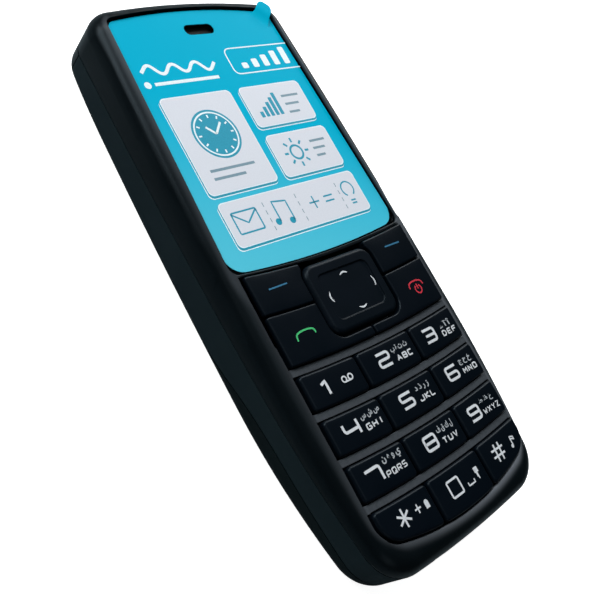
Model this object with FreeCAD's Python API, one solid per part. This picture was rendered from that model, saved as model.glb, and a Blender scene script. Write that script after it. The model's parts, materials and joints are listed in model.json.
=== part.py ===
import FreeCAD, Part
import math
import os

from FreeCAD import Vector

# Bar-shaped keypad telephone, lying on its back with the screen upwards.
# X runs across the phone, Y towards the earpiece end, Z out of the screen.
# The origin is under the middle of the phone, on the surface it rests on. Millimetres.

# ---- driving dimensions: battery, then the outside round it ------------------------
battery_size = (34.0, 53.0, 4.9)
battery_edge_round = 1.6
battery_gap = 0.25
battery_z = 2.1
jack_size = (6.4, 11.0, 4.6)  # headset socket, which lies past the battery's end
battery_end_room = jack_size[1] + 1.6  # battery to the microphone end
battery_side_room = 5.8       # battery to the widest place of the sides

body_length = 103.2
body_half_width = battery_size[0] / 2 + battery_side_room
half_length = body_length / 2
widest_from_end = 33.0
widest_y = widest_from_end - half_length  # the sides draw in from here to both ends
face_z = 13.7               # height of the bezel and of the key ribs
side_radius_upper = 1125.0  # long gentle curve of the side, widest place to earpiece end
side_radius_lower = 205.0   # tighter curve, widest place to the microphone end
top_end_radius = 150.0
bottom_end_radius = 240.0
top_corner_radius = 5.2
bottom_corner_radius = 7.2
front_round = 3.1           # soft edge of the front housing
back_round = 3.0            # soft edge of the back
back_rise_bottom = 2.2      # how far the back lifts at the microphone end
back_rise_top = 1.2         # and at the earpiece end
wall = 1.2                  # housing walls
split_z = 8.5               # seam of front and rear housing, at mid length
split_slope = -0.045        # the seam drops towards the earpiece end
seam_gap = 0.10             # between neighbouring housing parts
beyond = 200.0              # cuts run this far past the phone

# ---- battery bay and cover -------------------------------------------------------
battery_low_y = battery_end_room - half_length
bay_floor_z = battery_z + battery_size[2] + battery_gap
bay_half_x = battery_size[0] / 2 + battery_gap
bay_low_y = battery_low_y - battery_gap
bay_high_y = battery_low_y + battery_size[1] + battery_gap
bay_floor_thickness = 0.8
bay_wall = 1.0
bay_foot_z = 2.6              # lower edge of the bay's own walls
contact_block = (12.0, 2.4, 5.8)
contact_gap = 0.1             # contact block to the bay
contact_blade = (1.0, 0.5, 2.6)
contact_blade_lift = 0.6
contact_pitch = 3.6
contact_pad = (2.4, 0.6, 2.4)
contact_y = bay_high_y + contact_gap + contact_block[1] / 2
cover_wall = 1.0
cover_over_bay = 3.65
cover_top_y = bay_high_y + cover_over_bay  # upper edge of the battery cover on the back
cover_side_low = 1.4        # height of the cover's side at its upper edge
cover_side_high = 5.3       # and round the microphone end
cover_step_from_end = (23.6, 53.6)
cover_step_y = tuple(reach - half_length for reach in cover_step_from_end)  # the side climbs here
tongue_size = (30.0, 0.65)    # tongue of the battery cover: width and reach
tongue_root = 2.5
tongue_z = (1.35, 1.9)
back_flat_from_end = 37.6
back_flat_over_cover = 16.1
back_flat_y = (back_flat_from_end - half_length, cover_top_y + back_flat_over_cover)
cap_length = 4.8            # the earpiece end cap
cap_y = half_length - cap_length

# ---- keypad ----------------------------------------------------------------------
key_field_rim = 3.4           # bezel beside the keys
key_field_from_end = 3.5
key_field_half = body_half_width - key_field_rim
key_field_low_y = key_field_from_end - half_length
key_field_low_radius = 60.0
key_field_corner = 4.6
rib_pitch = 7.47
rib_height = 1.3
rib_sag_radius = 230.0        # every rib dips a little towards the microphone end
row_count = 4
key_count = 3 * row_count + 4
last_row_height = 8.19        # lowest rib's middle to the key field's lower end
rib_first_y = key_field_low_y + last_row_height + (row_count - 1) * rib_pitch
function_row_height = 16.2
key_field_high_y = rib_first_y + function_row_height  # upper edge of the function keys' opening
column_x = 6.8                # lines between the three columns
column_gap = 0.5
key_side_gap = 0.35
key_rib_gap = 0.15
key_proud = 0.65              # how far the digit keys stand out
key_top_z = face_z + key_proud
key_edge_round = 0.45
key_corner = 0.7
key_travel = 0.35
flange_reach = 0.45
flange_thickness = 0.5
web_thickness = 1.75          # front housing between and around the keys
flange_gap = 0.10             # flange to web
stem_radius = 1.4
plunger_radius = 0.85
dome_gap = 0.05
function_proud = 0.75
function_top_z = face_z + function_proud
function_split_rise = 9.35
function_split_y = rib_first_y + function_split_rise  # soft key to call key, on the centre line
function_gap = 0.3
function_corner = 0.4
function_edge_round = 0.3
soft_key_inner_x = 7.9        # the soft keys end here above the rocker

rocker_size = (16.3, 12.6)
rocker_rise = 9.2
rocker_y = rib_first_y + rocker_rise
rocker_corner = 2.3
rocker_proud = 0.9
rocker_top_z = face_z + rocker_proud
rocker_edge_round = 0.9
rocker_groove = 0.5
rocker_under_z = 11.3
rocker_pocket = (12.2, 8.4)
rocker_pocket_depth = 0.3
rocker_pocket_corner = 1.4
rocker_dome_reach = (5.2, 3.9)
pivot_radius = 0.9
pivot_z = 11.1
pivot_fit = 0.05
pivot_cup_radius = 1.5

# ---- window, film and display ----------------------------------------------------
lens_sunk = 0.8               # the window lies this far under the bezel
lens_top_z = face_z - lens_sunk
lens_thickness = 0.8
lens_gap = 0.12
lens_rim = (2.45, 4.6)        # bezel beside the window, at its lower and upper edge
lens_over_keys = 0.65
lens_from_end = 2.1
lens_half_width_low = body_half_width - lens_rim[0]
lens_half_width_high = body_half_width - lens_rim[1]
lens_low_y = key_field_high_y + lens_over_keys
lens_high_y = half_length - lens_from_end
lens_low_radius = 170.0
lens_high_radius = 115.0
lens_corner = 1.6
film_inset = 0.3
film_thickness = 0.10
film_slot_margin = 0.15       # how much wider than the lens slot the film's hole is
tab_inset = (3.6, 3.8)        # from the window's upper corner to where the pull tab leaves it
tab_root = (lens_half_width_high - tab_inset[0], lens_high_y - tab_inset[1])
tab_angle = 45.0              # away from +X
tab_width = 4.2
tab_length = 4.5
tab_ramp = 1.6                # climbs over the bezel's edge within this length
tab_lift = 0.06               # clear of the bezel
tab_curl = 0.2                # the free end stands this much higher
ear_slot = (6.2, 1.8)
ear_slot_drop = 4.4
ear_slot_y = lens_high_y - ear_slot_drop
window_half_width = 15.0
window_rise = 4.05
window_under_slot = 5.7
window_low_y = lens_low_y + window_rise
window_high_y = ear_slot_y - window_under_slot
ledge_thickness = 0.5
ledge_rise = 1.65
ledge_low_y = lens_low_y + ledge_rise  # the ledge under the window starts here
display_rim = 2.2             # the display reaches this far under the ledge
display_height = 1.9
display_gap = 0.1
glass_inset = 0.3
glass_proud = 0.15

# ---- board, domes, mat and screws ------------------------------------------------
board_z = 8.8
board_thickness = 0.8
board_inset = 2.5
dome_sheet_thickness = 0.12
dome_height = 0.33
dome_radius = 1.9
rocker_dome_radius = 1.3
dome_top_radius = 0.8
dome_room = 0.2               # round a dome, under the mat
mat_under_z = 10.1
mat_thickness = 0.7
mat_inset = 0.8
mat_rim = 0.8
mat_hole_gap = 0.4
sheet_inset = 1.1

screw_rim = 3.2
screw_rise = (10.65, 12.6)    # above the window's and the key field's lower ends
screw_x = body_half_width - screw_rim
screw_rows = (lens_low_y + screw_rise[0], key_field_low_y + screw_rise[1])
screw_seat_z = 6.1
screw_head = (1.45, 0.9)
screw_head_gap = 0.2
screw_shank_radius = 0.75
screw_tip_z = 11.0
screw_tip_room = 0.3
screw_fit = 0.03
screw_socket = (0.5, 0.45)
boss_radius = 1.7
boss_key_gap = 0.15           # boss to key flange
boss_fit = 0.2
boss_sink = 0.05              # the boss runs this far into what carries it
post_radius = 2.0

# ---- what hangs under the board --------------------------------------------------
sim_size = (16.0, 25.0, 1.5)
sim_split = 0.6               # half the room between the two phone cards
sim_drop = 1.55
sim_x = sim_size[0] / 2 + sim_split
sim_y = bay_high_y - sim_drop - sim_size[1] / 2
card_size = (12.5, 12.0, 1.5)
card_rise = 8.25
card_y = bay_low_y + card_rise + card_size[1] / 2
tray_gap = 0.3
tray_wall = 0.6
tray_sheet = 0.3
antenna_size = (12.0, 5.0, 0.35)
antenna_strip = 2.0
antenna_carrier_height = 2.6
antenna_inset = (11.3, 8.0)   # its middle from the side and from the earpiece end
antenna_x = body_half_width - antenna_inset[0]
antenna_y = half_length - antenna_inset[1]
shield_width = 30.0
shield_height = 1.8
shield_room = (4.75, 2.6)     # to the battery contacts and to the antenna
shield_low_y = contact_y + contact_block[1] / 2 + shield_room[0]
shield_high_y = antenna_y - antenna_size[1] / 2 - shield_room[1]
shield_wall = 0.25
speaker_size = (16.0, 11.0, 3.4)
speaker_inset = 14.8
speaker_rise = 10.1           # above the battery cover's upper edge
speaker_centre = (speaker_inset - body_half_width, cover_top_y + speaker_rise)
speaker_corner = 3.0
speaker_dish = (3.6, 0.4)
back_gap = 0.1                # to the inside of the back
grille_hole_radius = 0.6
grille_pitch = 2.2
grille_count = (5, 3)
ear_speaker = (11.0, 6.0, 1.8)
ear_speaker_corner = 2.4
ear_mesh = (8.0, 3.2, 0.15)
ear_mesh_seat = (8.2, 3.4, 0.2)
motor_radius = 2.0
motor_length = 8.0
motor_inset = 10.3
motor_rise = 9.1
motor_centre = (body_half_width - motor_inset, cover_top_y + motor_rise)
motor_z = wall + back_gap + motor_radius
motor_shaft_radius = 0.4
motor_shaft_length = 3.6
weight_radius = 1.75
weight_hub_radius = 0.9
weight_length = 2.6
weight_gap = 0.3
weight_fit = 0.03
cradle_wall = 0.9
cradle_rib = 1.2
motor_fit = 0.05
microphone_radius = 2.0
microphone_height = 1.5
microphone_inset = (8.2, 5.4)
microphone_place = (body_half_width - microphone_inset[0], microphone_inset[1] - half_length)
sound_hole_radius = 0.5
sound_hole_drop = 1.0         # under the board

# ---- sockets and torch -----------------------------------------------------------
tray_floor_z = 4.3            # floor under the sockets at the microphone end
tray_top_z = 6.1
port_size = (7.6, 5.4, 2.6)
port_wall = 0.3
port_corner = 0.6
port_tongue = (5.2, 3.6, 0.5)
port_recess = 0.5
port_x = -6.6
port_gap = 0.15
jack_x = 6.6
jack_z = 7.6
jack_bore_radius = 1.8
jack_mouth_radius = 2.0
jack_back_wall = 0.8
jack_gap = 0.1
jack_end_gap = 0.3            # to the curved end wall, on the centre line
torch_x = 0.0
torch_z = 4.0
torch_radius = 1.7
torch_length = 2.4
torch_fit = 0.05
led_size = (3.0, 1.6, 3.0)


# ---- heights that follow from the sizes above ------------------------------------
flange_top_z = face_z - web_thickness - flange_gap
flange_low_z = flange_top_z - flange_thickness
dome_sheet_z = board_z + board_thickness
dome_top_z = dome_sheet_z + dome_sheet_thickness + dome_height
stem_low_z = dome_top_z + key_travel + dome_gap
lens_low_z = lens_top_z - lens_thickness
ledge_low_z = lens_low_z - ledge_thickness


# ---- helpers ---------------------------------------------------------------------
def arc(a, b, c):
    """Edge of the arc from a through b to c."""
    return Part.Arc(a, b, c).toShape()


def prism(wire, z_low, z_high):
    """Solid above a closed flat wire that was drawn at z = 0."""
    solid = Part.Face(wire).extrude(Vector(0, 0, z_high - z_low))
    solid.translate(Vector(0, 0, z_low))
    return solid


def box(x_low, x_high, y_low, y_high, z_low, z_high):
    """Box between two corners."""
    return Part.makeBox(x_high - x_low, y_high - y_low, z_high - z_low, Vector(x_low, y_low, z_low))


def block(size, centre_x, centre_y, z_low):
    """Box of a size, centred in plan."""
    return box(centre_x - size[0] / 2, centre_x + size[0] / 2, centre_y - size[1] / 2,
               centre_y + size[1] / 2, z_low, z_low + size[2])


def disc(radius, height, x, y, z):
    """Upright cylinder."""
    return Part.makeCylinder(radius, height, Vector(x, y, z))


def rod(radius, length, x, y, z):
    """Cylinder that runs along +Y."""
    return Part.makeCylinder(radius, length, Vector(x, y, z), Vector(0, 1, 0))


def upright_edges(solid, y_low=-beyond, y_high=beyond):
    """Straight edges parallel to Z whose place lies between two heights in Y."""
    found = []
    for edge in solid.Edges:
        ends = edge.Vertexes
        if len(ends) < 2:
            continue
        span = ends[1].Point - ends[0].Point
        if math.hypot(span.x, span.y) < 1e-4 and y_low < ends[0].Y < y_high:
            found.append(edge)
    return found


def normal_at(face, point):
    """Outward direction of a face at a point on it."""
    u, v = face.Surface.parameter(point)
    return face.normalAt(u, v)


def sharp_upright_edges(solid):
    """Upright edges where two faces meet at an angle, not smoothly."""
    found = []
    for edge in upright_edges(solid):
        point = (edge.Vertexes[0].Point + edge.Vertexes[1].Point) * 0.5
        first, second = solid.ancestorsOfType(edge, Part.Face)[:2]
        if normal_at(first, point).getAngle(normal_at(second, point)) > math.radians(20):
            found.append(edge)
    return found


def rounded_block(size, centre_x, centre_y, z_low, radius):
    """Box with rounded upright edges."""
    solid = block(size, centre_x, centre_y, z_low)
    return solid.makeFillet(radius, upright_edges(solid))


def level_edges(solid, z):
    """Edges that lie wholly at one height."""
    return [e for e in solid.Edges if abs(e.BoundBox.ZMin - z) < 1e-4 and abs(e.BoundBox.ZMax - z) < 1e-4]


def meet(centre_a, radius_a, centre_b, radius_b, right_of, above):
    """Crossing of two circles in plan, on the asked side."""
    gap = centre_b - centre_a
    reach = gap.Length
    along = (radius_a ** 2 - radius_b ** 2 + reach ** 2) / (2 * reach)
    across = math.sqrt(radius_a ** 2 - along ** 2)
    unit = Vector(gap).normalize()
    side = Vector(-unit.y, unit.x, 0)
    points = [centre_a + unit * along + side * across, centre_a + unit * along - side * across]
    points = [p for p in points if p.x > right_of and (p.y > 0) == above]
    return points[0]


def on_circle(centre, radius, point_a, point_b):
    """Point of a circle half way between two of its points."""
    middle = (point_a + point_b) * 0.5 - centre
    return centre + middle.normalize() * radius


def mirrored(point):
    """The same place on the other side of the phone."""
    return Vector(-point.x, point.y, point.z)


def plan_body(inset, z_low, z_high):
    """Solid with the phone's outline, drawn in by an inset."""
    top_centre = Vector(0, half_length - top_end_radius, 0)
    low_centre = Vector(0, bottom_end_radius - half_length, 0)
    up_centre = Vector(body_half_width - side_radius_upper, widest_y, 0)
    down_centre = Vector(body_half_width - side_radius_lower, widest_y, 0)
    top_r = top_end_radius - inset
    low_r = bottom_end_radius - inset
    up_r = side_radius_upper - inset
    down_r = side_radius_lower - inset
    top_corner = meet(top_centre, top_r, up_centre, up_r, 0, True)
    low_corner = meet(low_centre, low_r, down_centre, down_r, 0, False)
    widest = Vector(body_half_width - inset, widest_y, 0)
    up_mid = on_circle(up_centre, up_r, widest, top_corner)
    down_mid = on_circle(down_centre, down_r, widest, low_corner)
    wire = Part.Wire([
        arc(mirrored(top_corner), Vector(0, half_length - inset, 0), top_corner),
        arc(top_corner, up_mid, widest),
        arc(widest, down_mid, low_corner),
        arc(low_corner, Vector(0, inset - half_length, 0), mirrored(low_corner)),
        arc(mirrored(low_corner), mirrored(down_mid), mirrored(widest)),
        arc(mirrored(widest), mirrored(up_mid), mirrored(top_corner)),
    ])
    solid = prism(wire, z_low, z_high)
    edges = upright_edges(solid, widest_y + 1)
    solid = solid.makeFillet(max(top_corner_radius - inset, 0.5), edges)
    edges = upright_edges(solid, low_corner.y - 0.01, low_corner.y + 0.01)
    return solid.makeFillet(max(bottom_corner_radius - inset, 0.5), edges)


def side_slab(points_and_arcs):
    """Solid across the whole width, from a closed profile in the YZ plane."""
    solid = Part.Face(Part.Wire(points_and_arcs)).extrude(Vector(2 * beyond, 0, 0))
    solid.translate(Vector(-beyond, 0, 0))
    return solid


def yz(y, z):
    """Point in the middle plane."""
    return Vector(0, y, z)


def line(a, b):
    """Straight edge."""
    return Part.makeLine(a, b)


def rise_arc(y_start, y_end, rise, lift):
    """Edge that leaves the level at y_start and has climbed by rise at y_end."""
    radius = ((y_end - y_start) ** 2 + rise ** 2) / (2 * rise)
    centre = yz(y_start, radius)
    half = on_circle(centre, radius, yz(y_start, 0), yz(y_end, rise))
    up = Vector(0, 0, lift)
    return arc(yz(y_start, 0) + up, half + up, yz(y_end, rise) + up)


def above_back(lift):
    """Everything above the back's long profile, raised by a lift."""
    low_y = -half_length - 3
    high_y = half_length + 3
    ceiling = beyond
    low_rise = back_rise_bottom * ((low_y - back_flat_y[0]) / (-half_length - back_flat_y[0])) ** 2
    high_rise = back_rise_top * ((high_y - back_flat_y[1]) / (half_length - back_flat_y[1])) ** 2
    return side_slab([
        rise_arc(back_flat_y[0], low_y, low_rise, lift),
        line(yz(back_flat_y[0], lift), yz(back_flat_y[1], lift)),
        rise_arc(back_flat_y[1], high_y, high_rise, lift),
        line(yz(high_y, high_rise + lift), yz(high_y, ceiling)),
        line(yz(high_y, ceiling), yz(low_y, ceiling)),
        line(yz(low_y, ceiling), yz(low_y, low_rise + lift)),
    ])


def split_height(y):
    """Height of the seam of the two housings."""
    return split_z + split_slope * y


def above_split(lift):
    """Everything above the seam of the two housings."""
    low = yz(-beyond, split_height(-beyond) + lift)
    high = yz(beyond, split_height(beyond) + lift)
    far = [yz(beyond, beyond), yz(-beyond, beyond)]
    return side_slab([line(low, high), line(high, far[0]), line(far[0], far[1]), line(far[1], low)])


def below_cover_seam(lift):
    """Everything under the seam of rear housing and battery cover, as far as the cover's upper edge."""
    far = -beyond
    low_y, high_y = cover_step_y
    mid = yz((low_y + high_y) / 2, (cover_side_low + cover_side_high) / 2 + lift)
    rise = (cover_side_high - cover_side_low) / 2
    run = (high_y - low_y) / 2
    radius = (run ** 2 + rise ** 2) / (2 * rise)
    foot = yz(high_y, cover_side_low + lift)
    head = yz(low_y, cover_side_high + lift)
    foot_mid = on_circle(foot + Vector(0, 0, radius), radius, foot, mid)
    head_mid = on_circle(head - Vector(0, 0, radius), radius, head, mid)
    edge_y = cover_top_y + lift
    return side_slab([
        line(yz(edge_y, cover_side_low + lift), foot), arc(foot, foot_mid, mid), arc(mid, head_mid, head),
        line(head, yz(far, cover_side_high + lift)), line(yz(far, cover_side_high + lift), yz(far, far)),
        line(yz(far, far), yz(edge_y, far)), line(yz(edge_y, far), yz(edge_y, cover_side_low + lift)),
    ])


def outer_shape():
    """The whole phone as one soft-edged solid, without keys."""
    solid = plan_body(0, 0, face_z).common(above_back(0)).removeSplitter()
    top_edges = level_edges(solid, face_z)
    solid = solid.makeFillet(front_round, top_edges)
    low_edges = [e for e in solid.Edges if e.BoundBox.ZMax < back_rise_bottom + 1.0
                 and e.BoundBox.DiagonalLength > 0.5 and not crosses_back(e)]
    return solid.makeFillet(back_round, low_edges)


def crosses_back(edge):
    """True for an edge that runs across the back rather than round it."""
    spread = edge.BoundBox
    return spread.XMax - spread.XMin > body_half_width and spread.YMax - spread.YMin < 0.01


def inner_shape(inset):
    """Room inside the housings for a wall thickness."""
    return plan_body(inset, 0, face_z).common(above_back(inset))


def cap_side(lift):
    """Everything beyond the seam of the earpiece end cap."""
    return box(-beyond, beyond, cap_y + lift, beyond, -beyond, beyond)


# ---- keypad outlines -------------------------------------------------------------
def sag_wire(y_high, y_low):
    """Closed band between two dipping curves, wider than the phone."""
    reach = body_half_width + 5
    drop = rib_sag_radius - math.sqrt(rib_sag_radius ** 2 - reach ** 2)
    high = (Vector(-reach, y_high + drop, 0), Vector(0, y_high, 0), Vector(reach, y_high + drop, 0))
    low = (Vector(reach, y_low + drop, 0), Vector(0, y_low, 0), Vector(-reach, y_low + drop, 0))
    return Part.Wire([arc(*high), line(high[2], low[0]), arc(*low), line(low[2], high[0])])


def rib_y(index):
    """Centre-line height of a rib, counted from 0."""
    return rib_first_y - index * rib_pitch


def key_field(inset, z_low, z_high):
    """Solid with the outline of the whole key field, drawn in at the sides and the lower end."""
    half = key_field_half - inset
    low = key_field_low_y + inset
    radius = key_field_low_radius - inset
    corner_y = low + radius - math.sqrt(radius ** 2 - half ** 2)
    high_y = lens_low_y + 5.0
    wire = Part.Wire([
        line(Vector(-half, high_y, 0), Vector(half, high_y, 0)),
        line(Vector(half, high_y, 0), Vector(half, corner_y, 0)),
        arc(Vector(half, corner_y, 0), Vector(0, low, 0), Vector(-half, corner_y, 0)),
        line(Vector(-half, corner_y, 0), Vector(-half, high_y, 0)),
    ])
    solid = prism(wire, z_low, z_high)
    return solid.makeFillet(key_field_corner - inset, upright_edges(solid, -beyond, rib_first_y))


def function_top_wire(inset):
    """Band under the window's lower curve, down to the first rib."""
    reach = body_half_width + 5
    radius = lens_low_radius
    drop = radius - math.sqrt(radius ** 2 - reach ** 2)
    high_y = key_field_high_y - inset
    low_y = rib_y(0) + rib_height / 2 + inset
    low_drop = rib_sag_radius - math.sqrt(rib_sag_radius ** 2 - reach ** 2)
    high = (Vector(-reach, high_y + drop, 0), Vector(0, high_y, 0), Vector(reach, high_y + drop, 0))
    low = (Vector(reach, low_y + low_drop, 0), Vector(0, low_y, 0), Vector(-reach, low_y + low_drop, 0))
    return Part.Wire([arc(*high), line(high[2], low[0]), arc(*low), line(low[2], high[0])])


def row_region(row, side_inset, rib_inset, z_low, z_high):
    """Opening of one key row in the front housing. Row 0 holds the function keys."""
    field = key_field(side_inset, z_low, z_high)
    if row == 0:
        return field.common(prism(function_top_wire(rib_inset), z_low, z_high))
    high_y = rib_y(row - 1) - rib_height / 2 - rib_inset
    low_y = rib_y(row) + rib_height / 2 + rib_inset if row < row_count else key_field_low_y - rib_pitch
    return field.common(prism(sag_wire(high_y, low_y), z_low, z_high))


def column_strip(column, z_low, z_high):
    """Strip of the key field that one column fills. Columns are -1, 0 and 1."""
    half_gap = column_gap / 2
    if column == 0:
        return box(half_gap - column_x, column_x - half_gap, -beyond, beyond, z_low, z_high)
    inner = column_x + half_gap
    x_low, x_high = (inner, beyond) if column > 0 else (-beyond, -inner)
    return box(x_low, x_high, -beyond, beyond, z_low, z_high)


def rocker_outline(margin, z_low, z_high):
    """Rounded square of the rocker key, grown by a margin."""
    size = (rocker_size[0] + 2 * margin, rocker_size[1] + 2 * margin, z_high - z_low)
    return rounded_block(size, 0, rocker_y, z_low, rocker_corner + margin)


def function_quarter(side, upper, z_low, z_high):
    """Share of the function row: side is -1 or 1, and upper is the soft key."""
    half_gap = function_gap / 2
    x_low, x_high = (half_gap, beyond) if side > 0 else (-beyond, -half_gap)
    if upper:
        band = prism(sag_wire(lens_low_y + rib_pitch, function_split_y + half_gap), z_low, z_high)
        band = band.cut(box(-soft_key_inner_x, soft_key_inner_x, rocker_y, beyond, z_low, z_high))
    else:
        band = prism(sag_wire(function_split_y - half_gap, rib_first_y - rib_pitch), z_low, z_high)
    band = band.common(box(x_low, x_high, -beyond, beyond, z_low, z_high))
    return band.cut(rocker_outline(rocker_groove, z_low, z_high))


def key_solid(region, flange_region, top_z, place, corner, edge_round):
    """A key: cap with soft edges, flange under the housing's web, and the stem over its dome."""
    cap = region(flange_top_z, top_z)
    cap = cap.makeFillet(corner, sharp_upright_edges(cap))
    cap = cap.makeFillet(edge_round, level_edges(cap, top_z))
    flange = flange_region(flange_low_z, flange_top_z)
    stem = disc(stem_radius, flange_low_z - stem_low_z, place[0], place[1], stem_low_z)
    key = cap.fuse([flange, stem])
    boss_top = face_z - web_thickness + key_travel + flange_gap
    for x, y in all_screw_places():
        key = key.cut(disc(boss_radius + boss_key_gap, boss_top, x, y, 0))
    return key.removeSplitter()


def digit_place(row, column):
    """Centre of a digit key in plan."""
    high = rib_y(row - 1) - rib_height / 2
    low = rib_y(row) + rib_height / 2 if row < row_count else key_field_low_y
    x = column * (key_field_half + column_x) / 2
    sag = abs(x) ** 2 / (2 * rib_sag_radius)
    return (x, (high + low) / 2 + sag)


def digit_key(row, column):
    """One of the twelve digit keys."""
    place = digit_place(row, column)

    def cap(z_low, z_high):
        region = row_region(row, key_side_gap, key_rib_gap, z_low, z_high)
        return region.common(column_strip(column, z_low, z_high))

    def flange(z_low, z_high):
        region = row_region(row, -flange_reach, -flange_reach, z_low, z_high)
        return region.common(column_strip(column, z_low, z_high))

    return key_solid(cap, flange, key_top_z, place, key_corner, key_edge_round)


def function_place(side, upper):
    """Stem of a soft key, call key or end key in plan."""
    x = side * (key_field_half + rocker_size[0] / 2 + rocker_groove) / 2
    low = rib_y(0) + rib_height / 2
    y = (key_field_high_y + function_split_y) / 2 if upper else (function_split_y + low) / 2
    return (x, y + x ** 2 / (2 * rib_sag_radius))


def function_key(side, upper):
    """Soft key, call key or end key, shaped round the rocker."""
    place = function_place(side, upper)

    def cap(z_low, z_high):
        region = row_region(0, key_side_gap, key_rib_gap, z_low, z_high)
        return region.common(function_quarter(side, upper, z_low, z_high))

    def flange(z_low, z_high):
        region = row_region(0, -flange_reach, -flange_reach, z_low, z_high)
        return region.common(function_quarter(side, upper, z_low, z_high))

    return key_solid(cap, flange, function_top_z, place, function_corner, function_edge_round)


def rocker_dome_places():
    """The four domes under the rocker."""
    reach_x, reach_y = rocker_dome_reach
    return ((reach_x, rocker_y), (-reach_x, rocker_y), (0, rocker_y + reach_y), (0, rocker_y - reach_y))


def rocker_key():
    """Square rocker: raised rim, flat sunk middle, cup for its pivot and four plungers."""
    solid = rocker_outline(0, rocker_under_z, rocker_top_z)
    solid = solid.makeFillet(rocker_edge_round, level_edges(solid, rocker_top_z))
    pocket_size = (rocker_pocket[0], rocker_pocket[1], rocker_top_z)
    pocket = rounded_block(pocket_size, 0, rocker_y, rocker_top_z - rocker_pocket_depth, rocker_pocket_corner)
    pocket = pocket.makeFillet(rocker_pocket_depth, level_edges(pocket, rocker_top_z - rocker_pocket_depth))
    solid = solid.cut(pocket)
    solid = solid.cut(Part.makeSphere(pivot_radius + pivot_fit, Vector(0, rocker_y, pivot_z)))
    plungers = [disc(plunger_radius, rocker_under_z - stem_low_z, x, y, stem_low_z)
                for x, y in rocker_dome_places()]
    return solid.fuse(plungers).removeSplitter()


# ---- window ----------------------------------------------------------------------
def window_outline(inset, z_low, z_high):
    """Solid with the outline of the window: tapering sides and two bowed ends."""
    high_y = lens_high_y - inset
    low_y = lens_low_y + inset
    high_x = lens_half_width_high - inset
    low_x = lens_half_width_low - inset
    high_drop = lens_high_radius - math.sqrt(lens_high_radius ** 2 - high_x ** 2)
    low_lift = lens_low_radius - math.sqrt(lens_low_radius ** 2 - low_x ** 2)
    high = Vector(high_x, high_y - high_drop, 0)
    low = Vector(low_x, low_y + low_lift, 0)
    wire = Part.Wire([
        arc(mirrored(high), Vector(0, high_y, 0), high), line(high, low),
        arc(low, Vector(0, low_y, 0), mirrored(low)), line(mirrored(low), mirrored(high)),
    ])
    solid = prism(wire, z_low, z_high)
    return solid.makeFillet(lens_corner, upright_edges(solid))


def ear_slot_solid(margin, z_low, z_high):
    """Round-ended slot of the earpiece."""
    size = (ear_slot[0] + 2 * margin, ear_slot[1] + 2 * margin, z_high - z_low)
    return rounded_block(size, 0, ear_slot_y, z_low, size[1] / 2 - 0.01)


def display_lens():
    """Clear window over the display."""
    lens = window_outline(lens_gap, lens_low_z, lens_top_z)
    return lens.cut(ear_slot_solid(0, 0, beyond))


def pull_tab():
    """Free corner of the film: climbs off the window and ends in a round flap."""
    thick = Vector(0, 0, film_thickness)
    start = yz(-0.2, lens_top_z)
    foot = yz(0, lens_top_z)
    crest = yz(tab_ramp, face_z + tab_lift)
    tip = yz(tab_length, face_z + tab_lift + tab_curl)
    lower = [start, foot, crest, tip]
    corners = lower + [p + thick for p in reversed(lower)]
    strip = Part.Face(Part.makePolygon(corners + [start])).extrude(Vector(tab_width, 0, 0))
    strip.translate(Vector(-tab_width / 2, 0, 0))
    plan = block((tab_width, 2 * tab_length, beyond), 0, 0, 0)
    plan = plan.makeFillet(tab_width / 3, upright_edges(plan, 0, tab_length + 1))
    strip = strip.common(plan)
    strip.rotate(Vector(0, 0, 0), Vector(0, 0, 1), tab_angle - 90)
    strip.translate(Vector(tab_root[0], tab_root[1], 0))
    return strip


def screen_film():
    """Thin peel-off film on the window, with its pull tab over the bezel."""
    film_low = lens_top_z
    film = window_outline(lens_gap + film_inset, film_low, film_low + film_thickness)
    film = film.cut(ear_slot_solid(film_slot_margin, 0, beyond))
    return film.fuse(pull_tab()).removeSplitter()


# ---- housings --------------------------------------------------------------------
def all_screw_places():
    """Both sides of every pair of screws."""
    return [(side * screw_x, y) for y in screw_rows for side in (-1, 1)]


def front_housing(outer):
    """Front housing: bezel, ribs between the keys, window ledge and screw bosses."""
    shell = outer.common(above_split(seam_gap / 2))
    room = plan_body(wall, 0, face_z - web_thickness)
    ledge = plan_body(0, ledge_low_z, face_z).common(box(-beyond, beyond, ledge_low_y, beyond, 0, beyond))
    shell = shell.cut(room.cut(ledge))
    shell = shell.cut(window_outline(0, lens_low_z, face_z + 1))
    window = (-window_half_width, window_half_width, window_low_y, window_high_y)
    shell = shell.cut(box(*window, board_z, face_z))
    shell = shell.cut(ear_slot_solid(0, 0, beyond))
    shell = shell.cut(block(ear_mesh_seat, 0, ear_slot_y, lens_low_z - ear_mesh_seat[2]))
    for row in range(row_count + 1):
        shell = shell.cut(row_region(row, 0, 0, 0, face_z + 1))
    bosses = []
    for x, y in all_screw_places():
        boss_top = face_z - web_thickness if y < ledge_low_y else ledge_low_z
        boss = disc(boss_radius, boss_top - board_z + boss_sink, x, y, board_z)
        bosses.append(boss.common(plan_body(wall + seam_gap, 0, face_z)))
    shell = shell.fuse(bosses)
    for x, y in all_screw_places():
        hole_depth = screw_tip_z - board_z + screw_tip_room
        shell = shell.cut(disc(screw_shank_radius + screw_fit, hole_depth, x, y, board_z))
    return shell.removeSplitter()


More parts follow.
